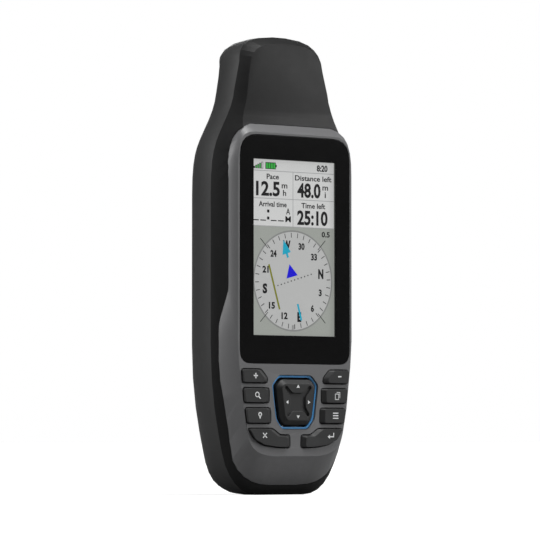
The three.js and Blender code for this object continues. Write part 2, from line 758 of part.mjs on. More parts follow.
function doorSeal() {
  const d = bayBack;
  const rim = (out) => rectangle(bayHalfWidth + out, bayBottom - out, bayTop + out, 1.5, 3);
  const seal = prism(rim(bayWall - 0.1), d + 0.05, d + stackGap - 0.05);
  return seal.subtract(prism(rim(0), 0, caseDepth + 1));
}

function usbSocket() {
  const { z, width, height } = usbPlace;
  const back = caseDepth - capThickness - doorGap - 0.4;
  const [w, h] = [width / 2 - seatGap, height / 2 - seatGap];
  const can = box(-w, w, back - 7, back, z - h, z + h);
  return can.subtract(box(-w + 0.5, w - 0.5, back - 6, back + 1, z - h + 0.5, z + h - 0.5));
}

function weatherCap() {
  const z0 = usbPlace.z - capHeight / 2;
  const z1 = usbPlace.z + capHeight / 2;
  return prism(rectangle(capWidth / 2, z0, z1, 2, 3), caseDepth - capThickness, caseDepth);
}

// ---------------------------------------------------------------- boards and antenna

const boardFront = bayFront - bayWall - stackGap - boardThickness;

function mainBoard() {
  const half = offsetHalf(caseLine, -(caseWall + stackGap + lipThickness + 0.8));
  let board = prism(mirrored(half), boardFront, boardFront + boardThickness);
  board = board.subtract(box(-caseWidth, caseWidth, 0, caseDepth, neckTop - 12, caseHeight + 5));
  board = board.subtract(box(-caseWidth, caseWidth, 0, caseDepth, -5, 14));
  for (const [x, z] of screwPlaces) {
    board = board.subtract(prism(offset(bossArm(x, z), 1.2), 0, caseDepth));
  }
  return board.subtract(sideBlock(halfWidth - caseWall - 6, halfWidth, 1.4));
}

const boardBack = boardFront + boardThickness;

function shieldCan() {
  const can = box(-13, 13, boardBack + stackGap, boardBack + 3, 84, 104);
  return can.subtract(box(-12.5, 12.5, boardBack, boardBack + 2.5, 84.5, 103.5));
}

const buzzer = () => bar(0, 124, 5.5, boardBack + stackGap, boardBack + 3.4, 24);

const antennaDepth = 15.4;
const antennaBottom = neckTop - 8.5;
const antennaTop = caseHeight - 7;
const antennaRadius = 5.0;

function antennaFormer() {
  const tube = post(0, antennaDepth, antennaRadius, antennaBottom, antennaTop, 24);
  return tube.subtract(post(0, antennaDepth, antennaRadius - 1.2, antennaBottom + 1.5, antennaTop + 1, 20));
}

function antennaHelix() {
  const radius = antennaRadius + 0.8;
  return coil(0, antennaDepth, antennaBottom + 1, antennaTop - 1, radius, radius, 0.8, 2, 48, 6);
}

const antennaBoard = () =>
  box(-8, 8, antennaDepth - 6.5, antennaDepth + 6.5, antennaBottom - stackGap - 1, antennaBottom - stackGap);

function caseScrew([x, z]) {
  const head = bar(x, z, screwHead / 2, screwSeat + 0.1, screwSeat + 0.1 + screwHeadHeight, 16);
  const shank = bar(x, z, screwShank / 2, bezelDepth + stackGap + 1.2, screwSeat + 0.2, 12);
  return head.add(shank).subtract(bar(x, z, 0.9, screwSeat + 0.9, screwSeat + 3, 6));
}

// ---------------------------------------------------------------- assembly

const finish = {
  caseGrey: { color: 0x3a3b3c, roughness: 0.55 },
  caseBlack: { color: 0x1e1f20, roughness: 0.5 },
  bezelGrey: { color: 0x606266, roughness: 0.45 },
  glass: { color: 0x0b0c0d, roughness: 0.05 },
  screen: { color: 0xb4b8b4, roughness: 0.3 },
  blue: { color: 0x3f7fb5, roughness: 0.3 },
  rubber: { color: 0x2b2c2d, roughness: 0.6 },
  metal: { color: 0xb0b2b5, roughness: 0.3, metalness: 1 },
  board: { color: 0x1f5a37, roughness: 0.5 },
  copper: { color: 0xc77b4a, roughness: 0.35, metalness: 1 },
  ceramic: { color: 0xe6e1d6, roughness: 0.4 },
  cell: { color: 0x8a8d92, roughness: 0.4 },
};

const navigator = new THREE.Group();

function place(name, shape, look) {
  const mesh = new THREE.Mesh(geometryOf(shape), new THREE.MeshStandardMaterial(finish[look]));
  mesh.name = name;
  navigator.add(mesh);
}

place('front_bezel', frontBezel(), 'bezelGrey');
place('front_case', frontCase(), 'caseBlack');
place('back_case', backCase(), 'caseGrey');
place('case_seal', caseSeal(), 'rubber');

place('display_window', displayWindow(), 'glass');
place('display_panel', displayPanel(), 'screen');
place('display_tray', displayTray(), 'caseBlack');

place('rocker_ring', rockerRing(), 'blue');
place('rocker_pad', rockerPad(), 'rubber');
place('rocker_pivot', rockerPivot(), 'metal');
for (const [name, corners] of Object.entries(rightKeys)) {
  place(`key_${name}`, key(keyOutline(corners)), 'rubber');
}
for (const [name, twin] of Object.entries(leftKeys)) {
  place(`key_${name}`, key(flipped(keyOutline(rightKeys[twin]))), 'rubber');
}
place('key_mat', keyMat(), 'rubber');
place('dome_sheet', domeSheet(), 'metal');
place('key_board', keyBoard(), 'board');

place('main_board', mainBoard(), 'board');
place('shield_can', shieldCan(), 'metal');
place('buzzer', buzzer(), 'caseBlack');
place('antenna_former', antennaFormer(), 'ceramic');
place('antenna_helix', antennaHelix(), 'copper');
place('antenna_board', antennaBoard(), 'board');

place('battery_bay', batteryBay(), 'caseBlack');
place('battery_cell_right', batteryCell(1), 'cell');
place('battery_cell_left', batteryCell(-1), 'cell');
place('contact_plate_right', contactPlate(1), 'metal');
place('contact_plate_left', contactPlate(-1), 'metal');
place('contact_bridge', bridgePlate(), 'metal');
place('contact_spring', cellSpring(), 'metal');
place('door_seal', doorSeal(), 'rubber');
place('battery_door', batteryDoor(), 'caseGrey');
place('latch_cam', latchCam(), 'caseBlack');
place('latch_ring', latchRing(), 'metal');

place('usb_socket', usbSocket(), 'metal');
place('weather_cap', weatherCap(), 'rubber');
place('power_button', powerButton(), 'rubber');
place('power_switch', powerSwitch(), 'metal');
screwPlaces.forEach((where, i) => place(`case_screw_${i + 1}`, caseScrew(where), 'metal'));

export default navigator;
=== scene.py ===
"""Handheld satellite navigator: finishes, rounded shells, keypad legends and the display page."""

import logging
import math
from dataclasses import dataclass, field
from enum import Enum
from typing import Callable, Iterable, Optional, Sequence

import bmesh
import bpy
from mathutils import Matrix, Vector


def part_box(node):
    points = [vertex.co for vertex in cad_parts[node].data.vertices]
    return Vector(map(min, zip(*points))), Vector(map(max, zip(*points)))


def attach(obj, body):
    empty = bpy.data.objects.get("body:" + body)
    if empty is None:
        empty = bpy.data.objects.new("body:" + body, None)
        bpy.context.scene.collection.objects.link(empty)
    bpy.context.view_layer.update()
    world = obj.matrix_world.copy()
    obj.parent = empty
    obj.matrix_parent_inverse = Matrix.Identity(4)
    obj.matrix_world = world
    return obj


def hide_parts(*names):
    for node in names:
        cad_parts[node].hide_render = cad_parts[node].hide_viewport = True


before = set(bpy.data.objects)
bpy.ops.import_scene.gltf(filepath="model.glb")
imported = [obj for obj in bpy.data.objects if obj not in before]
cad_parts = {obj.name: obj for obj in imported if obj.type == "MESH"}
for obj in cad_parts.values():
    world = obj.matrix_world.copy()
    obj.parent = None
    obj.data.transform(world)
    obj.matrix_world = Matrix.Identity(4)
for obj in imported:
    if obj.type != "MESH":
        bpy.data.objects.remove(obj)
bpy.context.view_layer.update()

MM = 0.001
FLAT_ANGLE = 0.04  # degrees between faces that count as one flat face
FACE_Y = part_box("display_window")[0].y
log = logging.getLogger("navigator")

Point = tuple[float, float]
Colour = tuple[float, float, float]


class Slot(Enum):
    """Finishes named in the part's record."""

    BACK_CASE_PAINTED_LIGHT = "case_grey"
    CASE_BLACK = "case_black"
    BEZEL_GREY = "bezel_grey"
    GLASS = "window_glass"
    SCREEN = "screen"
    BLUE = "trim_blue"
    KEY = "key_rubber"
    SEAL = "seal_rubber"
    STEEL = "steel"
    BOARD = "board_green"
    COPPER = "copper"
    CERAMIC = "ceramic"
    CELL = "cell_wrap"


class Body(Enum):
    """Bodies that more than one piece rides on."""

    CASE = "case"
    PAD = "rocker_pad"


# ---------------------------------------------------------------- shader groups

SMUDGE_SCALE = 210.0
WEAR_SCALE = 420.0
EDGE_START = 0.515
EDGE_GAIN = 14.0
CELL_CONTRAST = 0.1
CELL_FLOOR = 0.91
SCRATCH_SCALE = 5200.0
STAIN_SCALE = 240.0


def _group(name: str, inputs: Sequence[tuple[str, str, object]], outputs: Sequence[tuple[str, str]]):
    """Start a shader node group with named sockets.

    Args:
        name: Name of the group.
        inputs: Socket name, socket type and default of each input.
        outputs: Socket name and socket type of each output.

    Returns:
        The group tree, its input node and its output node.
    """
    tree = bpy.data.node_groups.new(name, "ShaderNodeTree")
    for label, kind, default in inputs:
        socket = tree.interface.new_socket(label, in_out="INPUT", socket_type=kind)
        if default is not None:
            socket.default_value = default
    for label, kind in outputs:
        tree.interface.new_socket(label, in_out="OUTPUT", socket_type=kind)
    return tree, tree.nodes.new("NodeGroupInput"), tree.nodes.new("NodeGroupOutput")


def _math(tree: bpy.types.NodeTree, operation: str, first: object, second: object = 0.0):
    """Add a Math node fed by sockets or numbers.

    Args:
        tree: Node tree that gets the node.
        operation: Math operation name.
        first: Socket or number for the first value.
        second: Socket or number for the second value.

    Returns:
        The node's output socket.
    """
    node = tree.nodes.new("ShaderNodeMath")
    node.operation = operation
    for slot, value in enumerate((first, second)):
        if isinstance(value, bpy.types.NodeSocket):
            tree.links.new(value, node.inputs[slot])
        else:
            node.inputs[slot].default_value = value
    return node.outputs[0]


def _noise(tree: bpy.types.NodeTree, vector: object, scale: object, detail: float, distortion: float = 0.0):
    """Add a noise texture and return its value socket."""
    node = tree.nodes.new("ShaderNodeTexNoise")
    node.inputs["Detail"].default_value = detail
    node.inputs["Distortion"].default_value = distortion
    tree.links.new(vector, node.inputs["Vector"])
    if isinstance(scale, bpy.types.NodeSocket):
        tree.links.new(scale, node.inputs["Scale"])
    else:
        node.inputs["Scale"].default_value = scale
    return node.outputs[0]


def _scaled(tree: bpy.types.NodeTree, colour: object, factor: object):
    """Multiply a colour by a value and return the result's socket."""
    node = tree.nodes.new("ShaderNodeVectorMath")
    node.operation = "SCALE"
    tree.links.new(colour, node.inputs[0])
    tree.links.new(factor, node.inputs["Scale"])
    return node.outputs[0]


def moulded_group() -> bpy.types.NodeTree:
    """Spark-eroded mould texture: fine grain, broad patches and a little wear on edges."""
    if "moulded_surface" in bpy.data.node_groups:
        return bpy.data.node_groups["moulded_surface"]
    tree, given, out = _group(
        "moulded_surface",
        [
            ("Vector", "NodeSocketVector", None),
            ("Colour", "NodeSocketColor", (0.1, 0.1, 0.1, 1)),
            ("Patches", "NodeSocketFloat", 0.1),
            ("Patch Scale", "NodeSocketFloat", 70.0),
            ("Roughness", "NodeSocketFloat", 0.5),
            ("Spread", "NodeSocketFloat", 0.1),
            ("Grain Scale", "NodeSocketFloat", 3000.0),
            ("Wear", "NodeSocketFloat", 0.1),
        ],
        [
            ("Colour", "NodeSocketColor"),
            ("Roughness", "NodeSocketFloat"),
            ("Height", "NodeSocketFloat"),
        ],
    )
    vector = given.outputs["Vector"]
    patch = _math(tree, "SUBTRACT", _noise(tree, vector, given.outputs["Patch Scale"], 4.0, 0.4), 0.5)
    fine = _noise(tree, vector, given.outputs["Grain Scale"], 2.0)
    smudge = _math(tree, "SUBTRACT", _noise(tree, vector, SMUDGE_SCALE, 5.0, 1.2), 0.5)

    geometry = tree.nodes.new("ShaderNodeNewGeometry")
    rise = _math(tree, "SUBTRACT", geometry.outputs["Pointiness"], EDGE_START)
    edge = tree.nodes.new("ShaderNodeClamp")
    tree.links.new(_math(tree, "MULTIPLY", rise, EDGE_GAIN), edge.inputs["Value"])
    worn = _math(tree, "MULTIPLY", _math(tree, "MULTIPLY", edge.outputs[0], given.outputs["Wear"]),
                 _noise(tree, vector, WEAR_SCALE, 3.0))

    shade = _math(tree, "MULTIPLY", patch, given.outputs["Patches"])
    speck = _math(tree, "MULTIPLY", _math(tree, "SUBTRACT", fine, 0.5), given.outputs["Patches"])
    level = _math(tree, "ADD", _math(tree, "ADD", _math(tree, "ADD", shade, speck), 1.0), worn)
    tree.links.new(_scaled(tree, given.outputs["Colour"], level), out.inputs["Colour"])
    spread = _math(tree, "MULTIPLY", _math(tree, "ADD", smudge, patch), given.outputs["Spread"])
    tree.links.new(_math(tree, "ADD", given.outputs["Roughness"], spread), out.inputs["Roughness"])
    tree.links.new(_math(tree, "ADD", fine, _math(tree, "MULTIPLY", smudge, 0.15)), out.inputs["Height"])
    return tree


def cells_group() -> bpy.types.NodeTree:
    """Fine square cells of a liquid-crystal panel, with a slightly uneven backlight."""
    if "display_cells" in bpy.data.node_groups:
        return bpy.data.node_groups["display_cells"]
    tree, given, out = _group(
        "display_cells",
        [
            ("Vector", "NodeSocketVector", None),
            ("Colour", "NodeSocketColor", (0.5, 0.5, 0.5, 1)),
            ("Cells per Metre", "NodeSocketFloat", 6100.0),
            ("Gap", "NodeSocketFloat", 0.08),
            ("Uneven", "NodeSocketFloat", 0.06),
        ],
        [("Colour", "NodeSocketColor")],
    )
    axes = tree.nodes.new("ShaderNodeSeparateXYZ")
    tree.links.new(given.outputs["Vector"], axes.inputs[0])
    masks = []
    for axis in ("X", "Z"):
        place = _math(tree, "MULTIPLY", axes.outputs[axis], given.outputs["Cells per Metre"])
        masks.append(_math(tree, "GREATER_THAN", _math(tree, "FRACT", place), given.outputs["Gap"]))
    lit = _math(tree, "MULTIPLY", masks[0], masks[1])
    level = _math(tree, "ADD", _math(tree, "MULTIPLY", lit, CELL_CONTRAST), CELL_FLOOR)
    glow = _math(tree, "SUBTRACT", _noise(tree, given.outputs["Vector"], 40.0, 1.0), 0.5)
    uneven = _math(tree, "ADD", _math(tree, "MULTIPLY", glow, given.outputs["Uneven"]), level)
    tree.links.new(_scaled(tree, given.outputs["Colour"], uneven), out.inputs["Colour"])
    return tree


def brushed_group() -> bpy.types.NodeTree:
    """Directional scratches for pressed and turned metal."""
    if "brushed_metal" in bpy.data.node_groups:
        return bpy.data.node_groups["brushed_metal"]
    tree, given, out = _group(
        "brushed_metal",
        [
            ("Vector", "NodeSocketVector", None),
            ("Colour", "NodeSocketColor", (0.6, 0.6, 0.6, 1)),
            ("Roughness", "NodeSocketFloat", 0.3),
            ("Length", "NodeSocketFloat", 0.06),
        ],
        [
            ("Colour", "NodeSocketColor"),
            ("Roughness", "NodeSocketFloat"),
            ("Height", "NodeSocketFloat"),
        ],
    )
    axes = tree.nodes.new("ShaderNodeSeparateXYZ")
    joined = tree.nodes.new("ShaderNodeCombineXYZ")
    tree.links.new(given.outputs["Vector"], axes.inputs[0])
    tree.links.new(_math(tree, "MULTIPLY", axes.outputs["X"], given.outputs["Length"]), joined.inputs["X"])
    tree.links.new(axes.outputs["Y"], joined.inputs["Y"])
    tree.links.new(axes.outputs["Z"], joined.inputs["Z"])
    scratch = _noise(tree, joined.outputs[0], SCRATCH_SCALE, 3.0)
    stain = _noise(tree, given.outputs["Vector"], STAIN_SCALE, 4.0)
    level = _math(tree, "ADD", _math(tree, "MULTIPLY", stain, 0.3), 0.85)
    tree.links.new(_scaled(tree, given.outputs["Colour"], level), out.inputs["Colour"])
    rough = _math(tree, "ADD", given.outputs["Roughness"], _math(tree, "MULTIPLY", scratch, 0.16))
    tree.links.new(rough, out.inputs["Roughness"])
    tree.links.new(scratch, out.inputs["Height"])
    return tree


# ---------------------------------------------------------------- finishes


def _material(name: str):
    """Make a material and return it with its tree, its Principled shader and object coordinates."""
    material = bpy.data.materials.new(name)
    material.use_nodes = True
    tree = material.node_tree
    shader = tree.nodes["Principled BSDF"]
    place = tree.nodes.new("ShaderNodeTexCoord").outputs["Object"]
    return material, tree, shader, place


def _bump(tree: bpy.types.NodeTree, shader: bpy.types.Node, height: object, strength: float, distance: float):
    """Feed a height to a shader's normal through a Bump node."""
    bump = tree.nodes.new("ShaderNodeBump")
    bump.inputs["Strength"].default_value = strength
    bump.inputs["Distance"].default_value = distance
    tree.links.new(height, bump.inputs["Height"])
    tree.links.new(bump.outputs[0], shader.inputs["Normal"])


def _grouped(name: str, group: bpy.types.NodeTree, values: dict[str, object]):
    """Make a material with a node group in it that reads object coordinates.

    Args:
        name: Name of the material.
        group: The node group.
        values: Values for the group's inputs, by socket name.

    Returns:
        The material, its tree, its Principled shader and the group's node.
    """
    material, tree, shader, place = _material(name)
    node = tree.nodes.new("ShaderNodeGroup")
    node.node_tree = group
    for socket, value in values.items():
        node.inputs[socket].default_value = value
    tree.links.new(place, node.inputs["Vector"])
    return material, tree, shader, node


@dataclass(frozen=True)
class Moulding:
    """Moulded plastic or rubber.

    Attributes:
        name: Name of the finish.
        slot: The record's slot it belongs to; not used.
        colour: Base colour, linear.
        roughness: Mean roughness.
        spread: How much the roughness varies.
        patches: How much the colour varies.
        grain: Grains per metre.
        depth: Depth of the grain in metres.
        wear: How much lighter the edges get.
        coat: Weight of a clear coat.
        specular: Level of the plain reflection.
    """

    name: str
    slot: Slot
    colour: Colour
    roughness: float = 0.5
    spread: float = 0.12
    patches: float = 0.12
    grain: float = 3000.0
    depth: float = 0.00003
    wear: float = 0.25
    coat: float = 0.0
    specular: float = 0.5

    def material(self) -> bpy.types.Material:
        """Return the finish's material, made on its first use."""
        if self.name in bpy.data.materials:
            return bpy.data.materials[self.name]
        material, tree, shader, group = _grouped(self.name, moulded_group(), {
            "Colour": (*self.colour, 1.0),
            "Patches": self.patches,
            "Roughness": self.roughness,
            "Spread": self.spread,
            "Grain Scale": self.grain,
            "Wear": self.wear,
        })
        tree.links.new(group.outputs["Colour"], shader.inputs["Base Color"])
        tree.links.new(group.outputs["Roughness"], shader.inputs["Roughness"])
        shader.inputs["Coat Weight"].default_value = self.coat
        shader.inputs["Coat Roughness"].default_value = 0.12
        shader.inputs["Specular IOR Level"].default_value = self.specular
        _bump(tree, shader, group.outputs["Height"], 0.5, self.depth)
        return material


@dataclass(frozen=True)
class Metal:
    """Pressed, turned or plated metal with fine scratches.

    Attributes:
        name: Name of the finish.
        slot: The record's slot it belongs to; not used.
        colour: Base colour, linear.
        roughness: Least roughness.
    """

    name: str
    slot: Slot
    colour: Colour
    roughness: float = 0.28

    def material(self) -> bpy.types.Material:
        """Return the finish's material, made on its first use."""
        if self.name in bpy.data.materials:
            return bpy.data.materials[self.name]
        material, tree, shader, group = _grouped(
            self.name, brushed_group(), {"Colour": (*self.colour, 1.0), "Roughness": self.roughness})
        tree.links.new(group.outputs["Colour"], shader.inputs["Base Color"])
        tree.links.new(group.outputs["Roughness"], shader.inputs["Roughness"])
        shader.inputs["Metallic"].default_value = 1.0
        _bump(tree, shader, group.outputs["Height"], 0.3, 0.00001)
        return material


@dataclass(frozen=True)
class PanelInk:
    """Colour shown by the lit display panel.

    Attributes:
        name: Name of the ink.
        colour: Its colour, linear.
        glow: Strength of its light.
        reflected: Share of the colour that the panel reflects.
        slot: The record's slot it belongs to; not used.
    """

    name: str
    colour: Colour
    glow: float = 0.79
    reflected: float = 0.35
    slot: Slot = Slot.SCREEN

    def material(self) -> bpy.types.Material:
        """Return the ink's material, made on its first use."""
        if self.name in bpy.data.materials:
            return bpy.data.materials[self.name]
        material, tree, shader, group = _grouped(
            self.name, cells_group(), {"Colour": (*self.colour, 1.0)})
        dim = tree.nodes.new("ShaderNodeVectorMath")
        dim.operation = "SCALE"
        dim.inputs["Scale"].default_value = self.reflected
        tree.links.new(group.outputs["Colour"], dim.inputs[0])
        tree.links.new(dim.outputs[0], shader.inputs["Base Color"])
        tree.links.new(group.outputs["Colour"], shader.inputs["Emission Color"])
        shader.inputs["Emission Strength"].default_value = self.glow
        shader.inputs["Roughness"].default_value = 0.5
        shader.inputs["Specular IOR Level"].default_value = 0.15
        return material


@dataclass(frozen=True)
class ClearPane:
    """Thin hard-coated cover over the display, almost clear.

    Attributes:
        name: Name of the finish.
        slot: The record's slot it belongs to; not used.
        opacity: How much it hides what is behind it.
    """

    name: str = "clear_cover"
    slot: Slot = Slot.GLASS
    opacity: float = 0.05

    def material(self) -> bpy.types.Material:
        """Return the cover's material, made on its first use."""
        if self.name in bpy.data.materials:
            return bpy.data.materials[self.name]
        material, tree, shader, place = _material(self.name)
        haze = _noise(tree, place, 160.0, 3.0)
        rough = _math(tree, "ADD", _math(tree, "MULTIPLY", haze, 0.08), 0.04)
        tree.links.new(rough, shader.inputs["Roughness"])
        shader.inputs["Base Color"].default_value = (0.02, 0.02, 0.022, 1.0)
        shader.inputs["Alpha"].default_value = self.opacity
        return material


# Painted light: the back half is the same dark plastic as the front half. Its colour is made about three
# times lighter to paint the light that falls on the left side wall.
BACK_CASE_PAINTED_LIGHT = Moulding("case_back_grey", Slot.BACK_CASE_PAINTED_LIGHT, (0.030, 0.0303, 0.0305), 0.55, wear=0.5,
                     specular=0.35)
CASE_BLACK = Moulding("case_front_black", Slot.CASE_BLACK, (0.0092, 0.0093, 0.0094), 0.5, wear=0.4,
                      specular=0.2)
BEZEL_GREY = Moulding("bezel_satin_grey", Slot.BEZEL_GREY, (0.136, 0.1365, 0.14), 0.42, 0.08, 0.06, 3600.0,
                      0.00002, 0.25)
KEY_RUBBER = Moulding("key_charcoal", Slot.KEY, (0.021, 0.0213, 0.0216), 0.5, 0.1, 0.08, 3400.0, 0.00002,
                      0.5, 0.0, 0.35)
SEAL_RUBBER = Moulding("seal_black", Slot.SEAL, (0.014, 0.014, 0.014), 0.7)
BLUE_TRIM = Moulding("ring_blue", Slot.BLUE, (0.085, 0.34, 0.72), 0.25, 0.06, 0.08, 2400.0, 0.00001, 0.2, 0.6)
BLACK_GLASS = Moulding("window_black", Slot.GLASS, (0.0012, 0.0012, 0.0013), 0.22, 0.04, 0.1, 900.0, 0.000001,
                       0.0, 0.0, 0.2)
LEGEND = Moulding("legend_white", Slot.KEY, (0.82, 0.83, 0.83), 0.45, 0.08, 0.05, 3600.0, 0.000005, 0.0)
BOARD_GREEN = Moulding("board_green", Slot.BOARD, (0.02, 0.11, 0.045), 0.35, 0.1, 0.2, 900.0)
CERAMIC = Moulding("antenna_ceramic", Slot.CERAMIC, (0.68, 0.66, 0.6), 0.4)
CELL_WRAP = Moulding("cell_sleeve", Slot.CELL, (0.2, 0.215, 0.235), 0.3, 0.08, 0.06, 2000.0, 0.000005,
                     0.2, 0.4)
STEEL = Metal("plated_steel", Slot.STEEL, (0.55, 0.56, 0.57))
COPPER = Metal("copper_wire", Slot.COPPER, (0.72, 0.36, 0.2), 0.25)

INK_PAGE = PanelInk("ink_page", (0.335, 0.352, 0.325))
INK_FIELD = PanelInk("ink_field", (0.62, 0.625, 0.62))
INK_DIAL = PanelInk("ink_dial", (0.475, 0.48, 0.475))
INK_RIM = PanelInk("ink_dial_rim", (0.24, 0.245, 0.24))
INK_LINE = PanelInk("ink_line", (0.36, 0.365, 0.37))
INK_BLACK = PanelInk("ink_black", (0.008, 0.008, 0.009))
INK_GREEN = PanelInk("ink_green", (0.04, 0.42, 0.06))
INK_BLUE = PanelInk("ink_blue", (0.008, 0.004, 0.62))
INK_CYAN = PanelInk("ink_cyan", (0.012, 0.36, 0.52))
INK_OLIVE = PanelInk("ink_olive", (0.19, 0.2, 0.012))

# ---------------------------------------------------------------- piece helpers


def finish_piece(name: str, mesh: bpy.types.Mesh, finish: object, body: str, smooth: Optional[float] = 30.0,
                 even: int = 80):
    """Make a mesh into a piece with its finish and body.

    Args:
        name: Name of the piece.
        mesh: Its mesh, in the frame, in metres.
        finish: Its finish.
        body: Body that it rides on.
        smooth: Angle in degrees above which an edge stays sharp, or None for flat shading.
        even: How strongly large faces rule the shading of a rounded edge, or 0 for not at all.

    Returns:
        The piece.
    """
    piece = bpy.data.objects.new(name, mesh)
    bpy.context.scene.collection.objects.link(piece)
    mesh.materials.clear()
    mesh.materials.append(finish.material())
    if smooth is not None:
        mesh.shade_smooth()
        mesh.set_sharp_from_angle(angle=math.radians(smooth))
    if smooth is not None and even:
        shading = piece.modifiers.new("even_shading", "WEIGHTED_NORMAL")
        shading.keep_sharp = True
        shading.weight = even
    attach(piece, body)
    log.info("piece %s on %s: %d faces", name, body, len(mesh.polygons))
    return piece


def to_mesh(bm: bmesh.types.BMesh, name: str) -> bpy.types.Mesh:
    """Turn a bmesh into a new mesh and free it."""
    mesh = bpy.data.meshes.new(name)
    bm.to_mesh(mesh)
    bm.free()
    return mesh


def merged_copy(node: str) -> bmesh.types.BMesh:
    """Copy a frame node's mesh with its loose triangles joined and its flat faces made whole."""
    bm = bmesh.new()
    bm.from_mesh(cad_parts[node].data)
    bmesh.ops.remove_doubles(bm, verts=bm.verts, dist=2e-6)
    bmesh.ops.dissolve_limit(bm, angle_limit=math.radians(FLAT_ANGLE), verts=bm.verts, edges=bm.edges)
    return bm


def sharp_edges(bm: bmesh.types.BMesh, angle: float, keep: Callable[[bmesh.types.BMEdge], bool]) -> list:
    """List the edges between two faces that meet at more than an angle.

    Args:
        bm: The shape.
        angle: Smallest angle between the faces, in degrees.
        keep: Test that each edge also has to pass.

    Returns:
        The edges.
    """
    limit = math.radians(angle)
    return [e for e in bm.edges if len(e.link_faces) == 2 and e.calc_face_angle(0.0) > limit and keep(e)]


def soften(bm: bmesh.types.BMesh, width: float, segments: int = 2, angle: float = 32.0,
           keep: Callable[[bmesh.types.BMEdge], bool] = lambda edge: True) -> None:
    """Round the sharp edges of a shape.

    Args:
        bm: The shape, in metres.
        width: Width of the rounding in millimetres.
        segments: Steps across the rounding.
        angle: Smallest angle in degrees that counts as sharp.
        keep: Test for the edges to round.
    """
    bmesh.ops.bevel(bm, geom=sharp_edges(bm, angle, keep), offset=width * MM, offset_type="OFFSET",
                    segments=segments, profile=0.5, affect="EDGES", clamp_overlap=True, material=-1)


def crisp_flats(piece: bpy.types.Object) -> None:
    """Keep the shading of flat faces apart from that of the rounded faces beside them."""
    mesh = piece.data
    flat = {f.index for f in mesh.polygons if abs(f.normal.y) > 0.9999}
    sides: dict[tuple[int, int], list[bool]] = {}
    for face in mesh.polygons:
        for key in face.edge_keys:
            sides.setdefault(key, []).append(face.index in flat)
    for edge in mesh.edges:
        if len(set(sides.get(edge.key, []))) > 1:
            edge.use_edge_sharp = True


def rounded_node(node: str, finish: object, body: str, width: float, segments: int = 2, name: str = "",
                 even: int = 80, angle: float = 32.0):
    """Replace a frame node by a copy with rounded edges.

    Args:
        node: The frame's node.
        finish: Finish of the piece.
        body: Body that it rides on.
        width: Width of the rounding in millimetres.
        segments: Steps across the rounding.
        name: Name of the piece, if it isn't made from the node's.
        even: How strongly large faces rule the shading of a rounded edge, or 0 for not at all.
        angle: Smallest angle in degrees that counts as a sharp edge.

    Returns:
        The piece.
    """
    bm = merged_copy(node)
    soften(bm, width, segments, angle)
    label = name or f"{node}_moulded"
    piece = finish_piece(label, to_mesh(bm, label), finish, body, even=even)
    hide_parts(node)
    return piece


def dress(nodes: Iterable[str], finish: object) -> None:
    """Give frame nodes a finish."""
    for name in nodes:
        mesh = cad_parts[name].data
        mesh.materials.clear()
        mesh.materials.append(finish.material())
        log.info("node %s dressed as %s", name, finish.name)


def y_at(depth: float) -> float:
    """Y in metres of a plane so many millimetres behind the front face."""
    return FACE_Y + depth * MM


class Plate:
    """Flat shapes drawn in X and Z, with a small thickness towards the front."""

    def __init__(self, depth: float, thickness: float = 0.02, slide: Point = (0.0, 0.0)) -> None:
        """Start an empty plate.

        Args:
            depth: Depth of the shapes' back behind the front face, in millimetres.
            thickness: Their thickness in millimetres.
            slide: Where the shapes' own origin lies, in millimetres.
        """
        self.bm = bmesh.new()
        self.depth = depth
        self.thickness = thickness
        self.slide = slide

    def place(self, point: Point) -> tuple[float, float, float]:
        """Return where a point of the drawing lies in the frame, in metres."""
        return (point[0] + self.slide[0]) * MM, y_at(self.depth), (point[1] + self.slide[1]) * MM

    def polygon(self, points: Sequence[Point]) -> "Plate":
        """Add a shape with the given corners."""
        corners = [self.bm.verts.new(self.place(point)) for point in points]
        self.thicken([self.bm.faces.new(corners)])
        return self

    def thicken(self, faces: list[bmesh.types.BMFace]) -> None:
        """Give a flat region the plate's thickness, keeping its back."""
        raised = bmesh.ops.extrude_face_region(self.bm, geom=faces)["geom"]
        lifted = [g for g in raised if isinstance(g, bmesh.types.BMVert)]
        bmesh.ops.translate(self.bm, verts=lifted, vec=(0.0, -self.thickness * MM, 0.0))
        region = dict.fromkeys([*faces, *(f for v in lifted for f in v.link_faces)])
        bmesh.ops.recalc_face_normals(self.bm, faces=list(region))

    def rectangle(self, x0: float, x1: float, z0: float, z1: float) -> "Plate":
        """Add an upright rectangle."""
        return self.polygon([(x0, z0), (x1, z0), (x1, z1), (x0, z1)])

    def stroke(self, start: Point, end: Point, width: float) -> "Plate":
        """Add a straight stroke between two points."""
        run = Vector(end) - Vector(start)
        side = Vector((-run.y, run.x)).normalized() * width / 2
        a, b = Vector(start), Vector(end)
        return self.polygon([tuple(a - side), tuple(b - side), tuple(b + side), tuple(a + side)])

    def disc(self, centre: Point, radius: float, sides: int = 24) -> "Plate":
        """Add a filled disc."""
        stand = Matrix.Translation(self.place(centre)) @ Matrix.Rotation(math.radians(90), 4, "X")
        made = bmesh.ops.create_circle(self.bm, cap_ends=True, radius=radius * MM, segments=sides,
                                       matrix=stand)
        self.thicken(list(made["verts"][0].link_faces))
        return self

    def ring(self, centre: Point, radius: float, width: float, steps: int) -> "Plate":
        """Add a ring whose stroke is centred on a radius."""
        known = set(self.bm.faces)
        ends = [self.bm.verts.new(self.place((centre[0], centre[1] + radius + side * width / 2)))
                for side in (-1, 1)]
        edge = self.bm.edges.new(ends)
        bmesh.ops.spin(self.bm, geom=[*ends, edge], cent=self.place(centre), axis=(0.0, 1.0, 0.0),
                       angle=2 * math.pi, steps=steps, use_merge=True)
        self.thicken([f for f in self.bm.faces if f not in known])
        return self

    def piece(self, name: str, finish: object, body: str = Body.CASE.value) -> bpy.types.Object:
        """Make the shapes into one piece."""
        return finish_piece(name, to_mesh(self.bm, name), finish, body, None)


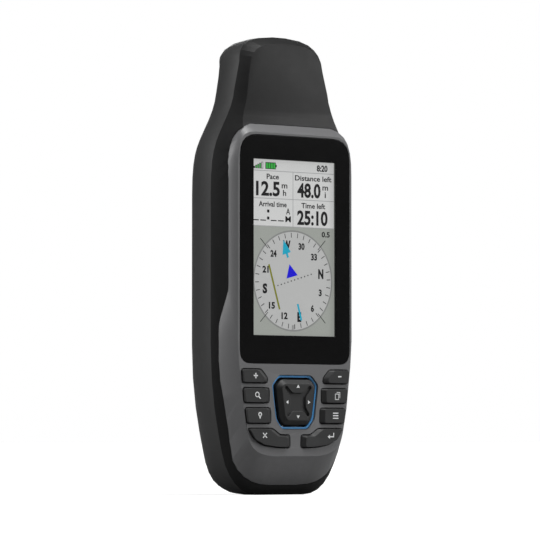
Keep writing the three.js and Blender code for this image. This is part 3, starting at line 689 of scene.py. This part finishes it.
@dataclass
class Writing:
    """One line of plain lettering or digits.

    Attributes:
        text: What it says.
        centre: Middle of the line in X and Z, in millimetres.
        height: Height of its tall letters in millimetres.
        width: Width of the whole line in millimetres.
        weight: How far the strokes are thickened, in millimetres.
    """

    text: str
    centre: Point
    height: float
    width: float
    weight: float = 0.06

    CAPITAL = 0.729

    def mesh(self, depth: float) -> bpy.types.Mesh:
        """Return the line as a thin mesh whose middle lies at a depth, in millimetres."""
        curve = bpy.data.curves.new("line", "FONT")
        curve.body = self.text
        curve.size = self.height / self.CAPITAL * MM
        curve.offset = self.weight * MM
        curve.extrude = 0.01 * MM
        curve.resolution_u = 3
        holder = bpy.data.objects.new("line", curve)
        bpy.context.scene.collection.objects.link(holder)
        bpy.context.view_layer.update()
        mesh = bpy.data.meshes.new_from_object(holder)
        bpy.data.objects.remove(holder)
        bpy.data.curves.remove(curve)
        xs = [v.co.x for v in mesh.vertices]
        wide = max(xs) - min(xs)
        mesh.transform(Matrix.Translation((-(min(xs) + max(xs)) / 2, -self.height * MM / 2, 0.0)))
        mesh.transform(Matrix.Diagonal((self.width * MM / wide, 1.0, 1.0, 1.0)))
        mesh.transform(Matrix.Rotation(math.radians(90), 4, "X"))
        x, z = self.centre
        mesh.transform(Matrix.Translation((x * MM, y_at(depth), z * MM)))
        return mesh


def write(name: str, lines: Sequence[Writing], depth: float, finish: object, body: str = Body.CASE.value):
    """Make several lines of lettering into one piece.

    Args:
        name: Name of the piece.
        lines: The lines.
        depth: Depth of their middle behind the front face, in millimetres.
        finish: Their finish.
        body: Body that they ride on.

    Returns:
        The piece.
    """
    bm = bmesh.new()
    for line in lines:
        mesh = line.mesh(depth)
        bm.from_mesh(mesh)
        bpy.data.meshes.remove(mesh)
    return finish_piece(name, to_mesh(bm, name), finish, body, None)


# ---------------------------------------------------------------- housing


@dataclass
class Housing:
    """Two-part case, grey bezel, seal and screws.

    Attributes:
        rim_round: Rounding of the bezel's outer front edge, in millimetres.
        edge_round: Rounding of other bezel edges.
        case_round: Rounding of the case halves' edges.
    """

    rim_round: float = 0.55
    edge_round: float = 0.12
    case_round: float = 0.35

    def bezel(self) -> None:
        """Make the bezel with a wide rounding where its face turns into the bevel."""
        bm = merged_copy("front_bezel")
        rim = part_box("front_bezel")[0].y

        def on_rim(edge: bmesh.types.BMEdge) -> bool:
            """Tell whether an edge lies between the flat face and the outer bevel."""
            flat = all(abs(v.co.y - rim) < 1e-5 for v in edge.verts)
            leaning = any(0.25 < -f.normal.y < 0.95 for f in edge.link_faces)
            return flat and leaning

        soften(bm, self.rim_round, 4, 15.0, on_rim)
        soften(bm, self.edge_round, 2, 40.0)
        piece = finish_piece("bezel_satin", to_mesh(bm, "bezel_satin"), BEZEL_GREY, Body.CASE.value, even=0)
        crisp_flats(piece)
        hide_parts("front_bezel")

    def halves(self) -> None:
        """Make both halves of the case with rounded edges."""
        crisp_flats(rounded_node("front_case", CASE_BLACK, Body.CASE.value, self.case_round, 3,
                                 "front_half_black", 0, 20.0))
        # The back half gets the lighter colour that paints the light on the side wall.
        crisp_flats(rounded_node("back_case", BACK_CASE_PAINTED_LIGHT, Body.CASE.value, 0.25, 2, "back_half_painted_light", 0))

    def build(self) -> None:
        """Make and dress the whole housing."""
        self.bezel()
        self.halves()
        dress(["case_seal", "door_seal"], SEAL_RUBBER)
        dress([f"case_screw_{i}" for i in range(1, 7)], STEEL)


# ---------------------------------------------------------------- window and display page


@dataclass
class Window:
    """Black-framed window with an opening over the display.

    Attributes:
        side_border: Width of the frame over each side of the display, in millimetres.
        upper_border, lower_border: The same above and below.
        rounding: Rounding of the frame's edges.
        pane_depth, pane_thickness: Place of the clear pane's back, and its thickness.
    """

    side_border: float = 1.85
    upper_border: float = 1.65
    lower_border: float = 5.7
    rounding: float = 0.18
    pane_depth: float = 0.2
    pane_thickness: float = 0.15

    def opening(self) -> tuple[float, float, float, float]:
        """Return the display's visible left, right, bottom and top in millimetres."""
        low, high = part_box("display_panel")
        return (low.x / MM + self.side_border, high.x / MM - self.side_border,
                low.z / MM + self.lower_border, high.z / MM - self.upper_border)

    def frame(self) -> None:
        """Make the black frame: the window's own outline with the display's opening through it."""
        bm = merged_copy("display_window")
        x0, x1, z0, z1 = self.opening()
        planes = [((x0, 0, 0), (1, 0, 0)), ((x1, 0, 0), (1, 0, 0)),
                  ((0, 0, z0), (0, 0, 1)), ((0, 0, z1), (0, 0, 1))]
        for place, normal in planes:
            bmesh.ops.bisect_plane(bm, geom=bm.verts[:] + bm.edges[:] + bm.faces[:],
                                   plane_co=Vector(place) * MM, plane_no=normal, dist=1e-7)

        def inside(face: bmesh.types.BMFace) -> bool:
            """Tell whether a face lies over the display."""
            c = face.calc_center_median() / MM
            return x0 < c.x < x1 and z0 < c.z < z1

        over = [f for f in bm.faces if inside(f)]
        bmesh.ops.delete(bm, geom=over, context="FACES")
        rim = [e for e in bm.edges if e.is_boundary]
        bmesh.ops.bridge_loops(bm, edges=rim)
        bmesh.ops.recalc_face_normals(bm, faces=bm.faces)
        soften(bm, self.rounding, 3, 40.0)
        piece = finish_piece("window_frame", to_mesh(bm, "window_frame"), BLACK_GLASS, Body.CASE.value)
        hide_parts("display_window")

    def pane(self) -> None:
        """Make the clear cover that fills the opening."""
        x0, x1, z0, z1 = self.opening()
        Plate(self.pane_depth, self.pane_thickness).rectangle(x0, x1, z0, z1).piece(
            "window_pane", ClearPane())

    def build(self) -> None:
        """Make the window and dress what holds the display."""
        self.frame()
        self.pane()
        dress(["display_tray"], CASE_BLACK)
        dress(["display_panel"], INK_PAGE)


PAGE_STAND = 0.06  # the page's ground stands this far in front of the display panel, in millimetres


@dataclass
class Page:
    """Navigation page: status bar, four fields and a compass.

    Attributes:
        left, right, bottom, top: Edges of the display in millimetres.
        status: Height of the status bar.
        row: Height of a row of fields.
        dial_radius: Radius of the compass.
        heading: Clock angle of north on the compass, in degrees.
        back: Depth of the page's ground behind the front face.
        marks: Lettering and digits gathered for one piece.
    """

    left: float
    right: float
    bottom: float
    top: float
    status: float = 4.2
    row: float = 10.3
    dial_radius: float = 18.9
    heading: float = 77.3
    back: float = (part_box("display_panel")[0].y - FACE_Y) / MM - PAGE_STAND
    marks: list[Writing] = field(default_factory=list)

    @property
    def middle(self) -> float:
        """X of the display's middle."""
        return (self.left + self.right) / 2

    @property
    def dial(self) -> Point:
        """Centre of the compass."""
        return self.middle, self.top - 45.0

    def down(self, distance: float) -> float:
        """Z so far below the display's top."""
        return self.top - distance

    def across(self, distance: float) -> float:
        """X so far from the display's left."""
        return self.left + distance

    def on_dial(self, angle: float, radius: float) -> Point:
        """Point on the compass at a clock angle from the top."""
        turn = math.radians(angle)
        return self.dial[0] + radius * math.sin(turn), self.dial[1] + radius * math.cos(turn)

    def grounds(self) -> None:
        """Make the pale grounds of the status bar and the fields, and the lines between them."""
        end = self.status + 2 * self.row
        Plate(self.back + 0.04, 0.02).rectangle(self.left, self.right, self.bottom, self.top).piece(
            "page_ground", INK_PAGE)
        Plate(self.back, 0.02).rectangle(self.left, self.right, self.down(end), self.top).piece(
            "page_fields", INK_FIELD)
        lines = Plate(self.back - 0.02, 0.015)
        for distance in (self.status, self.status + self.row, end):
            lines.stroke((self.left, self.down(distance)), (self.right, self.down(distance)), 0.28)
        lines.stroke((self.middle, self.down(self.status)), (self.middle, self.down(end)), 0.28)
        lines.piece("page_lines", INK_LINE)

    def status_bar(self) -> None:
        """Make the signal bars, the battery and the clock."""
        base = self.down(3.4)
        bars, green = Plate(self.back - 0.02, 0.02), Plate(self.back - 0.04, 0.02)
        empty = Plate(self.back - 0.04, 0.02)
        for i in range(5):
            x = self.across(0.9 + 0.95 * i)
            bars.rectangle(x - 0.08, x + 0.74, base - 0.08, base + 0.75 + 0.42 * i)
            if i > 0:
                fill = green if i < 4 else empty
                fill.rectangle(x + 0.12, x + 0.54, base + 0.1, base + 0.57 + 0.42 * i)
        x0 = self.across(6.7)
        bars.rectangle(x0 - 0.2, x0 + 4.75, base - 0.15, base + 2.4)
        bars.rectangle(x0 + 4.75, x0 + 5.2, base + 0.65, base + 1.6)
        for i in range(4):
            green.rectangle(x0 + 0.1 + 1.17 * i, x0 + 0.98 + 1.17 * i, base + 0.1, base + 2.15)
        empty.piece("status_empty_bar", INK_FIELD)
        bars.piece("status_outlines", INK_BLACK)
        green.piece("status_green", INK_GREEN)
        self.marks.append(Writing("8:20", (self.across(33.7), self.down(2.2)), 2.3, 5.2, 0.11))

    def fields(self) -> None:
        """Set the captions, digits and units of the four fields."""
        first, second = self.status, self.status + self.row
        captions = [("Pace", 10.0, first, 5.8), ("Distance left", 29.4, first, 17.6),
                    ("Arrival time", 10.0, second, 13.2), ("Time left", 29.4, second, 11.5)]
        for text, x, row, width in captions:
            self.marks.append(Writing(text, (self.across(x), self.down(row + 2.0)), 2.0, width, 0.055))
        for text, x, row, width in [("12.5", 7.7, first, 11.3), ("48.0", 27.3, first, 11.2),
                                    ("25:10", 29.0, second, 14.7)]:
            self.marks.append(Writing(text, (self.across(x), self.down(row + 6.5)), 5.3, width, 0.24))
        for text, x, row, width in [("m", 15.6, first + 5.1, 2.7), ("h", 15.6, first + 7.9, 1.5),
                                    ("m", 35.2, first + 5.1, 2.7), ("i", 35.2, first + 7.9, 0.6),
                                    ("A", 17.3, second + 4.5, 1.9), ("M", 17.3, second + 7.4, 2.6)]:
            self.marks.append(Writing(text, (self.across(x), self.down(row)), 2.3, width, 0.05))
        dashes = Plate(self.back - 0.02, 0.02)
        base = self.down(second + 8.4)
        for x in (0.7, 4.1, 9.1, 12.5):
            dashes.rectangle(self.across(x), self.across(x + 2.7), base, base + 0.4)
        for rise in (0.5, 3.1):
            dashes.rectangle(self.across(7.3), self.across(8.4), base + rise, base + rise + 1.1)
        dashes.piece("arrival_dashes", INK_BLACK)

    def compass(self) -> None:
        """Make the compass: face, rim, ticks, letters and numbers."""
        Plate(self.back, 0.02).disc(self.dial, self.dial_radius, 96).piece("dial_face", INK_DIAL)
        Plate(self.back - 0.02, 0.015).ring(self.dial, self.dial_radius - 0.25, 0.6, 96).piece(
            "dial_rim", INK_RIM)
        ticks = Plate(self.back - 0.025, 0.02)
        for i in range(36):
            angle = self.heading + 10 * i
            ticks.stroke(self.on_dial(angle, 16.2), self.on_dial(angle, 18.0), 0.28)
        for angle in (45, 135, 225, 315):
            ticks.stroke(self.on_dial(angle, 16.9), self.on_dial(angle, 22.0), 0.26)
        for side in (-1, 1):
            ticks.stroke(self.on_dial(180 + side * 1.2, 16.6), self.on_dial(180 + side * 1.2, 18.3), 0.2)
        ticks.piece("dial_ticks", INK_BLACK)
        for i in range(12):
            angle = self.heading + 30 * i
            letter = {0: "N", 3: "E", 6: "S", 9: "W"}.get(i)
            label = letter or str(3 * i)
            size, weight = (3.4, 0.26) if letter else (2.4, 0.14)
            width = {"N": 2.5, "E": 1.9, "S": 2.2, "W": 3.6}.get(label, 1.45 * len(label))
            self.marks.append(Writing(label, self.on_dial(angle, 13.7), size, width, weight))
        self.marks.append(Writing("0.5", (self.across(35.4), self.down(27.1)), 2.0, 3.9, 0.08))

    def pointers(self) -> None:
        """Make the boat triangle, the course arrow, the bearing line and the dotted line."""
        x, z = self.dial
        front = self.back - 0.06
        boat = Plate(front, 0.02, (x, z)).polygon([(-1.7, 6.2), (-3.1, 0.8), (2.2, 2.2)])
        boat.piece("boat_mark", INK_BLUE)
        arrow = Plate(front, 0.02, (x, z))
        arrow.polygon([(-4.6, 15.3), (-5.0, 9.6), (-1.1, 10.8)])
        arrow.stroke((-3.1, 10.4), (-2.4, 8.7), 0.9)
        arrow.stroke((2.2, -8.6), (4.0, -14.7), 0.8)
        arrow.piece("course_arrow", INK_CYAN)
        Plate(front, 0.02, (x, z)).stroke((-11.5, 5.9), (-6.4, -10.8), 0.75).piece("bearing_line", INK_OLIVE)
        dots = Plate(front, 0.02, (x, z))
        for i in range(11):
            share = i / 10
            dots.disc((-7.2 + 15.9 * share, -1.9 + 4.6 * share), 0.28, 8)
        dots.piece("dotted_line", INK_BLACK)

    def build(self) -> None:
        """Make the whole page."""
        self.grounds()
        self.status_bar()
        self.fields()
        self.compass()
        self.pointers()
        write("page_lettering", self.marks, self.back - 0.05, INK_BLACK)


# ---------------------------------------------------------------- keypad


def moved_in(corners: Sequence[Point], distances: Sequence[float]) -> list[Point]:
    """Move each side of an outline inwards by its own distance.

    Args:
        corners: Corners, anticlockwise seen from the front.
        distances: Distance for the side that starts at each corner.

    Returns:
        The new corners.
    """
    count = len(corners)
    lines = []
    for i in range(count):
        a, b = Vector(corners[i]), Vector(corners[(i + 1) % count])
        run = (b - a).normalized()
        lines.append((a + Vector((-run.y, run.x)) * distances[i], run))
    moved = []
    for i in range(count):
        (p, r), (q, s) = lines[i - 1], lines[i]
        cross = r.x * s.y - r.y * s.x
        along = ((q - p).x * s.y - (q - p).y * s.x) / cross if abs(cross) > 1e-6 else 0.0
        moved.append(tuple(p + r * along if abs(cross) > 1e-6 else q))
    return moved


@dataclass(frozen=True)
class KeyShape:
    """Outline of a right-hand key and which of its sides slope towards the rocker.

    Attributes:
        corners: Corners in millimetres, anticlockwise seen from the front.
        slopes: How far each side's slope runs in at the top, in millimetres.
        legend: Middle of the legend in X and Z.
    """

    corners: tuple[Point, ...]
    slopes: tuple[float, ...]
    legend: Point


SHAPES = {
    "zoom": KeyShape(((13.3, 41.7), (25.0, 41.7), (25.4, 46.7), (16.3, 46.7), (13.3, 43.6)),
                     (0.12, 0.12, 0.12, 1.5, 1.9), (20.6, 44.3)),
    "page": KeyShape(((12.5, 34.3), (24.2, 34.3), (24.8, 39.7), (12.5, 39.7)),
                     (0.12, 0.12, 0.12, 1.7), (19.6, 37.0)),
    "menu": KeyShape(((11.7, 26.7), (23.0, 26.7), (23.8, 32.3), (11.9, 32.3)),
                     (0.12, 0.12, 0.12, 1.7), (18.6, 29.6)),
    "enter": KeyShape(((2.6, 17.6), (9.0, 17.8), (15.2, 18.6), (19.6, 20.6), (22.4, 24.7), (10.8, 24.7),
                       (7.2, 22.3), (2.8, 22.3)),
                      (0.12, 0.12, 0.12, 0.12, 0.12, 1.3, 0.6, 1.7), (16.3, 22.2)),
}


@dataclass
class Key:
    """One key cap with its printed legend.

    Attributes:
        node: Name of the frame's node and body.
        shape: Its outline.
        left: Whether it is the mirror image, on the left.
        draw: Function that draws its legend on a plate.
        root: Depth of the cap's foot behind the front face.
        corner: Rounding of its upright edges.
        rim: Rounding of its top.
        left_shift: How far a left-hand legend sits further inwards.
        shoulder: Depth at which the slopes begin.
    """

    node: str
    shape: KeyShape
    left: bool
    draw: Callable[[Plate], None]
    root: float = 2.9
    corner: float = 0.6
    rim: float = 0.2
    left_shift: float = 1.1
    shoulder: float = 0.0

    def cap(self) -> None:
        """Make the cap: upright sides, slopes towards the rocker and a rounded top."""
        top = (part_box(self.node)[0].y - FACE_Y) / MM
        shape = self.shape
        crown = moved_in(shape.corners, shape.slopes)
        bm = bmesh.new()
        sign = -1 if self.left else 1
        verts = [bm.verts.new((sign * x * MM, y_at(self.root), z * MM)) for x, z in shape.corners]
        face = bm.faces.new(verts)
        for outline, depth in ((shape.corners, self.shoulder), (crown, top)):
            made = bmesh.ops.extrude_face_region(bm, geom=[face])["geom"]
            if depth == top:
                bmesh.ops.delete(bm, geom=[face], context="FACES_ONLY")
            face = next(g for g in made if isinstance(g, bmesh.types.BMFace))
            for vert, (x, z) in zip(self._in_order(face, sign), outline):
                vert.co = (sign * x * MM, y_at(depth), z * MM)
        bmesh.ops.recalc_face_normals(bm, faces=bm.faces)
        upright = [e for e in bm.edges if abs(e.verts[0].co.y - e.verts[1].co.y) > 0.5 * MM]
        bmesh.ops.bevel(bm, geom=upright, offset=self.corner * MM, offset_type="OFFSET", segments=3,
                        profile=0.5, affect="EDGES", clamp_overlap=True, material=-1)
        soften(bm, self.rim, 3, 25.0, lambda e: max(v.co.y for v in e.verts) < y_at(0.3))
        piece = finish_piece(f"{self.node}_cap", to_mesh(bm, self.node), KEY_RUBBER, self.node)
        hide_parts(self.node)

    def _in_order(self, face: bmesh.types.BMFace, sign: int) -> list:
        """List a face's corners in the outline's own order."""
        pool = list(face.verts)
        ordered = []
        for x, z in self.shape.corners:
            nearest = min(pool, key=lambda v: (v.co.x - sign * x * MM) ** 2 + (v.co.z - z * MM) ** 2)
            pool.remove(nearest)
            ordered.append(nearest)
        return ordered

    def legend(self) -> None:
        """Print the legend on the cap."""
        top = (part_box(self.node)[0].y - FACE_Y) / MM
        x, z = self.shape.legend
        plate = Plate(top + 0.012, 0.022, (self.left_shift - x if self.left else x, z))
        self.draw(plate)
        plate.piece(f"{self.node}_legend", LEGEND, self.node)

    def build(self) -> None:
        """Make the cap and its legend."""
        self.cap()
        self.legend()


def draw_plus(plate: Plate) -> None:
    """Draw a plus."""
    plate.rectangle(-0.95, 0.95, -0.24, 0.24).rectangle(-0.24, 0.24, -1.0, 1.0)


def draw_minus(plate: Plate) -> None:
    """Draw a minus."""
    plate.rectangle(-0.8, 0.8, -0.24, 0.24)


def draw_lens(plate: Plate) -> None:
    """Draw a magnifying glass."""
    plate.ring((-0.3, 0.3), 0.85, 0.34, 20).stroke((0.35, -0.35), (1.25, -1.25), 0.45)


def draw_pin(plate: Plate) -> None:
    """Draw a map pin."""
    plate.ring((0.0, 0.35), 0.65, 0.42, 20).polygon([(-0.7, 0.0), (0.0, -1.45), (0.7, 0.0), (0.0, -0.42)])


def draw_sheet(plate: Plate) -> None:
    """Draw two overlapping sheets."""
    for x0, z0, x1, z1 in [(-1.15, -1.3, 0.45, 0.75)]:
        plate.stroke((x0, z0), (x1, z0), 0.26).stroke((x0, z1), (x1, z1), 0.26)
        plate.stroke((x0, z0 - 0.13), (x0, z1 + 0.13), 0.26).stroke((x1, z0 - 0.13), (x1, z1 + 0.13), 0.26)
    plate.stroke((-0.5, 1.35), (1.13, 1.35), 0.26).stroke((1.0, 1.3), (1.0, -0.7), 0.26)


def draw_bars(plate: Plate) -> None:
    """Draw three level bars."""
    for z in (-0.95, 0.0, 0.95):
        plate.rectangle(-1.3, 1.3, z - 0.2, z + 0.2)


def draw_cross(plate: Plate) -> None:
    """Draw a diagonal cross."""
    plate.stroke((-0.9, -0.9), (0.9, 0.9), 0.4).stroke((-0.9, 0.9), (0.9, -0.9), 0.4)


def draw_return(plate: Plate) -> None:
    """Draw an arrow that turns back to the left."""
    plate.rectangle(-0.6, 1.5, -0.72, -0.32).rectangle(1.12, 1.5, -0.34, 1.0)
    plate.polygon([(-1.6, -0.52), (-0.5, -1.35), (-0.5, 0.31)])


@dataclass
class Keypad:
    """Eight keys, the rocker with its blue ring, and the sheets behind them.

    Attributes:
        arrow: Half the width of a rocker arrow, in millimetres.
        arrow_height: How far the arrows stand off the rocker's crown.
        rocker_round, ring_round: Roundings of the rocker and of its ring.
    """

    arrow: float = 0.72
    arrow_height: float = 0.03
    rocker_round: float = 0.22
    ring_round: float = 0.12

    def keys(self) -> None:
        """Make every key."""
        rows = [
            ("key_zoom_out", "zoom", False, draw_minus), ("key_zoom_in", "zoom", True, draw_plus),
            ("key_page", "page", False, draw_sheet), ("key_find", "page", True, draw_lens),
            ("key_menu", "menu", False, draw_bars), ("key_mark", "menu", True, draw_pin),
            ("key_enter", "enter", False, draw_return), ("key_quit", "enter", True, draw_cross),
        ]
        for node, shape, left, draw in rows:
            Key(node, SHAPES[shape], left, draw).build()

    def rocker(self) -> None:
        """Make the rocker, its arrows and the ring round it."""
        bm = merged_copy("rocker_pad")
        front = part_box("rocker_pad")[0].y
        crown = [v for v in bm.verts if v.co.y < front + 0.01 * MM]
        bmesh.ops.translate(bm, verts=crown, vec=(0.0, self.arrow_height * MM, 0.0))
        soften(bm, self.rocker_round, 3)
        cap = finish_piece("rocker_cap", to_mesh(bm, "rocker_cap"), KEY_RUBBER, Body.PAD.value)
        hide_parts("rocker_pad")
        rounded_node("rocker_ring", BLUE_TRIM, Body.CASE.value, self.ring_round, 2, "rocker_blue_ring")
        low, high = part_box("rocker_pad")
        front = (low.y - FACE_Y) / MM
        middle = (low.z + high.z) / 2 / MM
        plate = Plate(front + self.arrow_height + 0.01, self.arrow_height + 0.01, (0.0, middle))
        a = self.arrow
        for x, z, turn in [(0, 5.9, 0), (0, -5.5, 180), (-5.2, 0, -90), (5.2, 0, 90)]:
            corners = []
            for px, pz in [(-a, -0.75 * a), (a, -0.75 * a), (0, 0.85 * a)]:
                c, s = math.cos(math.radians(turn)), math.sin(math.radians(turn))
                corners.append((x + px * c + pz * s, z - px * s + pz * c))
            plate.polygon(corners)
        plate.piece("rocker_arrows", LEGEND, Body.PAD.value)

    def build(self) -> None:
        """Make the keypad and dress what lies behind it."""
        self.keys()
        self.rocker()
        dress(["key_mat"], KEY_RUBBER)
        dress(["rocker_pivot", "dome_sheet"], STEEL)
        dress(["key_board"], BOARD_GREEN)


# ---------------------------------------------------------------- back, side and inside


@dataclass
class BackFittings:
    """Battery door with its latch, weather cap and power button."""

    def build(self) -> None:
        """Make and dress the moving pieces of the back and side."""
        # The battery door shares the back half's lighter colour, which is painted light.
        rounded_node("battery_door", BACK_CASE_PAINTED_LIGHT, "battery_door", 0.3, 2, "battery_door_painted_light")
        rounded_node("latch_cam", CASE_BLACK, "latch_cam", 0.2, 2, "latch_disc")
        rounded_node("latch_ring", STEEL, "latch_ring", 0.25, 2, "latch_handle")
        rounded_node("weather_cap", SEAL_RUBBER, "weather_cap", 0.45, 3, "port_cap")
        rounded_node("power_button", KEY_RUBBER, "power_button", 0.3, 3, "power_key")


@dataclass
class Inside:
    """Boards, antenna, cells and contacts."""

    def build(self) -> None:
        """Dress every inner node."""
        dress(["main_board", "antenna_board"], BOARD_GREEN)
        dress(["shield_can", "usb_socket", "power_switch", "contact_plate_right", "contact_plate_left",
               "contact_bridge", "contact_spring"], STEEL)
        dress(["buzzer", "battery_bay"], CASE_BLACK)
        dress(["antenna_former"], CERAMIC)
        dress(["antenna_helix"], COPPER)
        dress(["battery_cell_right", "battery_cell_left"], CELL_WRAP)


# ---------------------------------------------------------------- studio


@dataclass(frozen=True)
class Lamp:
    """A soft, distant lamp.

    Attributes:
        name: Its name.
        place: Direction it shines from.
        spread: Its apparent size in degrees.
        power: Its strength.
    """

    name: str
    place: tuple[float, float, float]
    spread: float
    power: float


@dataclass
class Studio:
    """Pale floor, soft lamps and the camera.

    Attributes:
        floor_size: Side of the floor in metres.
        lamps: The distant lamps.
        ambient: Strength of the light from all round.
        near_place, near_aim: Place and direction of the small near lamp.
        near_size, near_power: Its side in metres and its power in watts.
        floor_shade, floor_white: The floor's own shade, and its brightness as the camera sees it.
        lens, sensor: The camera's focal length and sensor width in millimetres.
        camera_place: The camera's place in metres.
        camera_pitch, camera_turn: Its angles about X and Z in degrees.
    """

    floor_size: float = 60.0
    lamps: tuple[Lamp, ...] = (
        Lamp("key_sun", (1.7, -1.1, 0.9), 24.0, 1.5),
        Lamp("side_sun", (-1.5, 0.6, 0.6), 26.0, 1.5),
        Lamp("top_sun", (0.15, -0.45, 1.6), 30.0, 2.8),
        Lamp("rim_sun", (0.9, 1.4, 0.6), 20.0, 0.35),
    )
    ambient: float = 0.13
    near_place: tuple[float, float, float] = (0.42, -0.4, 0.33)
    near_aim: tuple[float, float, float] = (-0.42, 0.4, -0.2)
    near_size: float = 0.3
    near_power: float = 0.08
    floor_shade: float = 0.22
    floor_white: float = 0.8
    lens: float = 249.9
    sensor: float = 36.0
    camera_place: tuple[float, float, float] = (-0.8734, -1.1091, 0.0198)
    camera_pitch: float = 92.624
    camera_turn: float = -38.19

    def floor(self) -> None:
        """Make the pale floor."""
        bm = bmesh.new()
        bmesh.ops.create_grid(bm, x_segments=8, y_segments=8, size=self.floor_size / 2)
        mesh = to_mesh(bm, "studio_floor")
        floor = bpy.data.objects.new("studio_floor", mesh)
        bpy.context.scene.collection.objects.link(floor)
        material, tree, shader, place = _material("floor_pale")
        shade = _noise(tree, place, 1.5, 2.0)
        level = _math(tree, "ADD", _math(tree, "MULTIPLY", shade, 0.02), self.floor_shade)
        tree.links.new(level, shader.inputs["Base Color"])
        path = tree.nodes.new("ShaderNodeLightPath")
        tree.links.new(path.outputs["Is Camera Ray"], shader.inputs["Emission Color"])
        shader.inputs["Emission Strength"].default_value = self.floor_white
        shader.inputs["Roughness"].default_value = 0.9
        mesh.materials.append(material)

    def lights(self) -> None:
        """Make the lamps and the surrounding light."""
        for each in self.lamps:
            lamp = bpy.data.lights.new(each.name, "SUN")
            lamp.angle = math.radians(each.spread)
            lamp.energy = each.power
            holder = bpy.data.objects.new(each.name, lamp)
            holder.location = each.place
            holder.rotation_euler = (-Vector(each.place)).to_track_quat("-Z", "Y").to_euler()
            bpy.context.scene.collection.objects.link(holder)
        soft = bpy.data.lights.new("near_lamp", "AREA")
        soft.size = self.near_size
        soft.energy = self.near_power
        holder = bpy.data.objects.new("near_lamp", soft)
        holder.location = self.near_place
        holder.rotation_euler = Vector(self.near_aim).to_track_quat("-Z", "Y").to_euler()
        bpy.context.scene.collection.objects.link(holder)
        world = bpy.data.worlds.new("studio")
        bpy.context.scene.world = world
        world.use_nodes = True
        tree = world.node_tree
        background = tree.nodes["Background"]
        background.inputs["Color"].default_value = (1.0, 1.0, 1.0, 1.0)
        seen = _math(tree, "MULTIPLY", tree.nodes.new("ShaderNodeLightPath").outputs["Is Camera Ray"],
                     1.0 - self.ambient)
        tree.links.new(_math(tree, "ADD", seen, self.ambient), background.inputs["Strength"])
        bpy.context.scene.view_settings.view_transform = "Standard"

    def camera(self) -> None:
        """Place the camera."""
        data = bpy.data.cameras.new("camera")
        data.lens = self.lens
        data.sensor_width = self.sensor
        data.clip_start = 0.05
        holder = bpy.data.objects.new("camera", data)
        holder.location = self.camera_place
        holder.rotation_euler = (math.radians(self.camera_pitch), 0.0, math.radians(self.camera_turn))
        bpy.context.scene.collection.objects.link(holder)
        bpy.context.scene.camera = holder

    def build(self) -> None:
        """Set up the whole studio."""
        self.camera()
        self.floor()
        self.lights()


def main() -> None:
    """Build the navigator's looks."""
    logging.basicConfig(level=logging.INFO, format="%(name)s %(message)s")
    Housing().build()
    window = Window()
    window.build()
    Page(*window.opening()).build()
    Keypad().build()
    BackFittings().build()
    Inside().build()
    Studio().build()


if __name__ == "__main__":
    main()
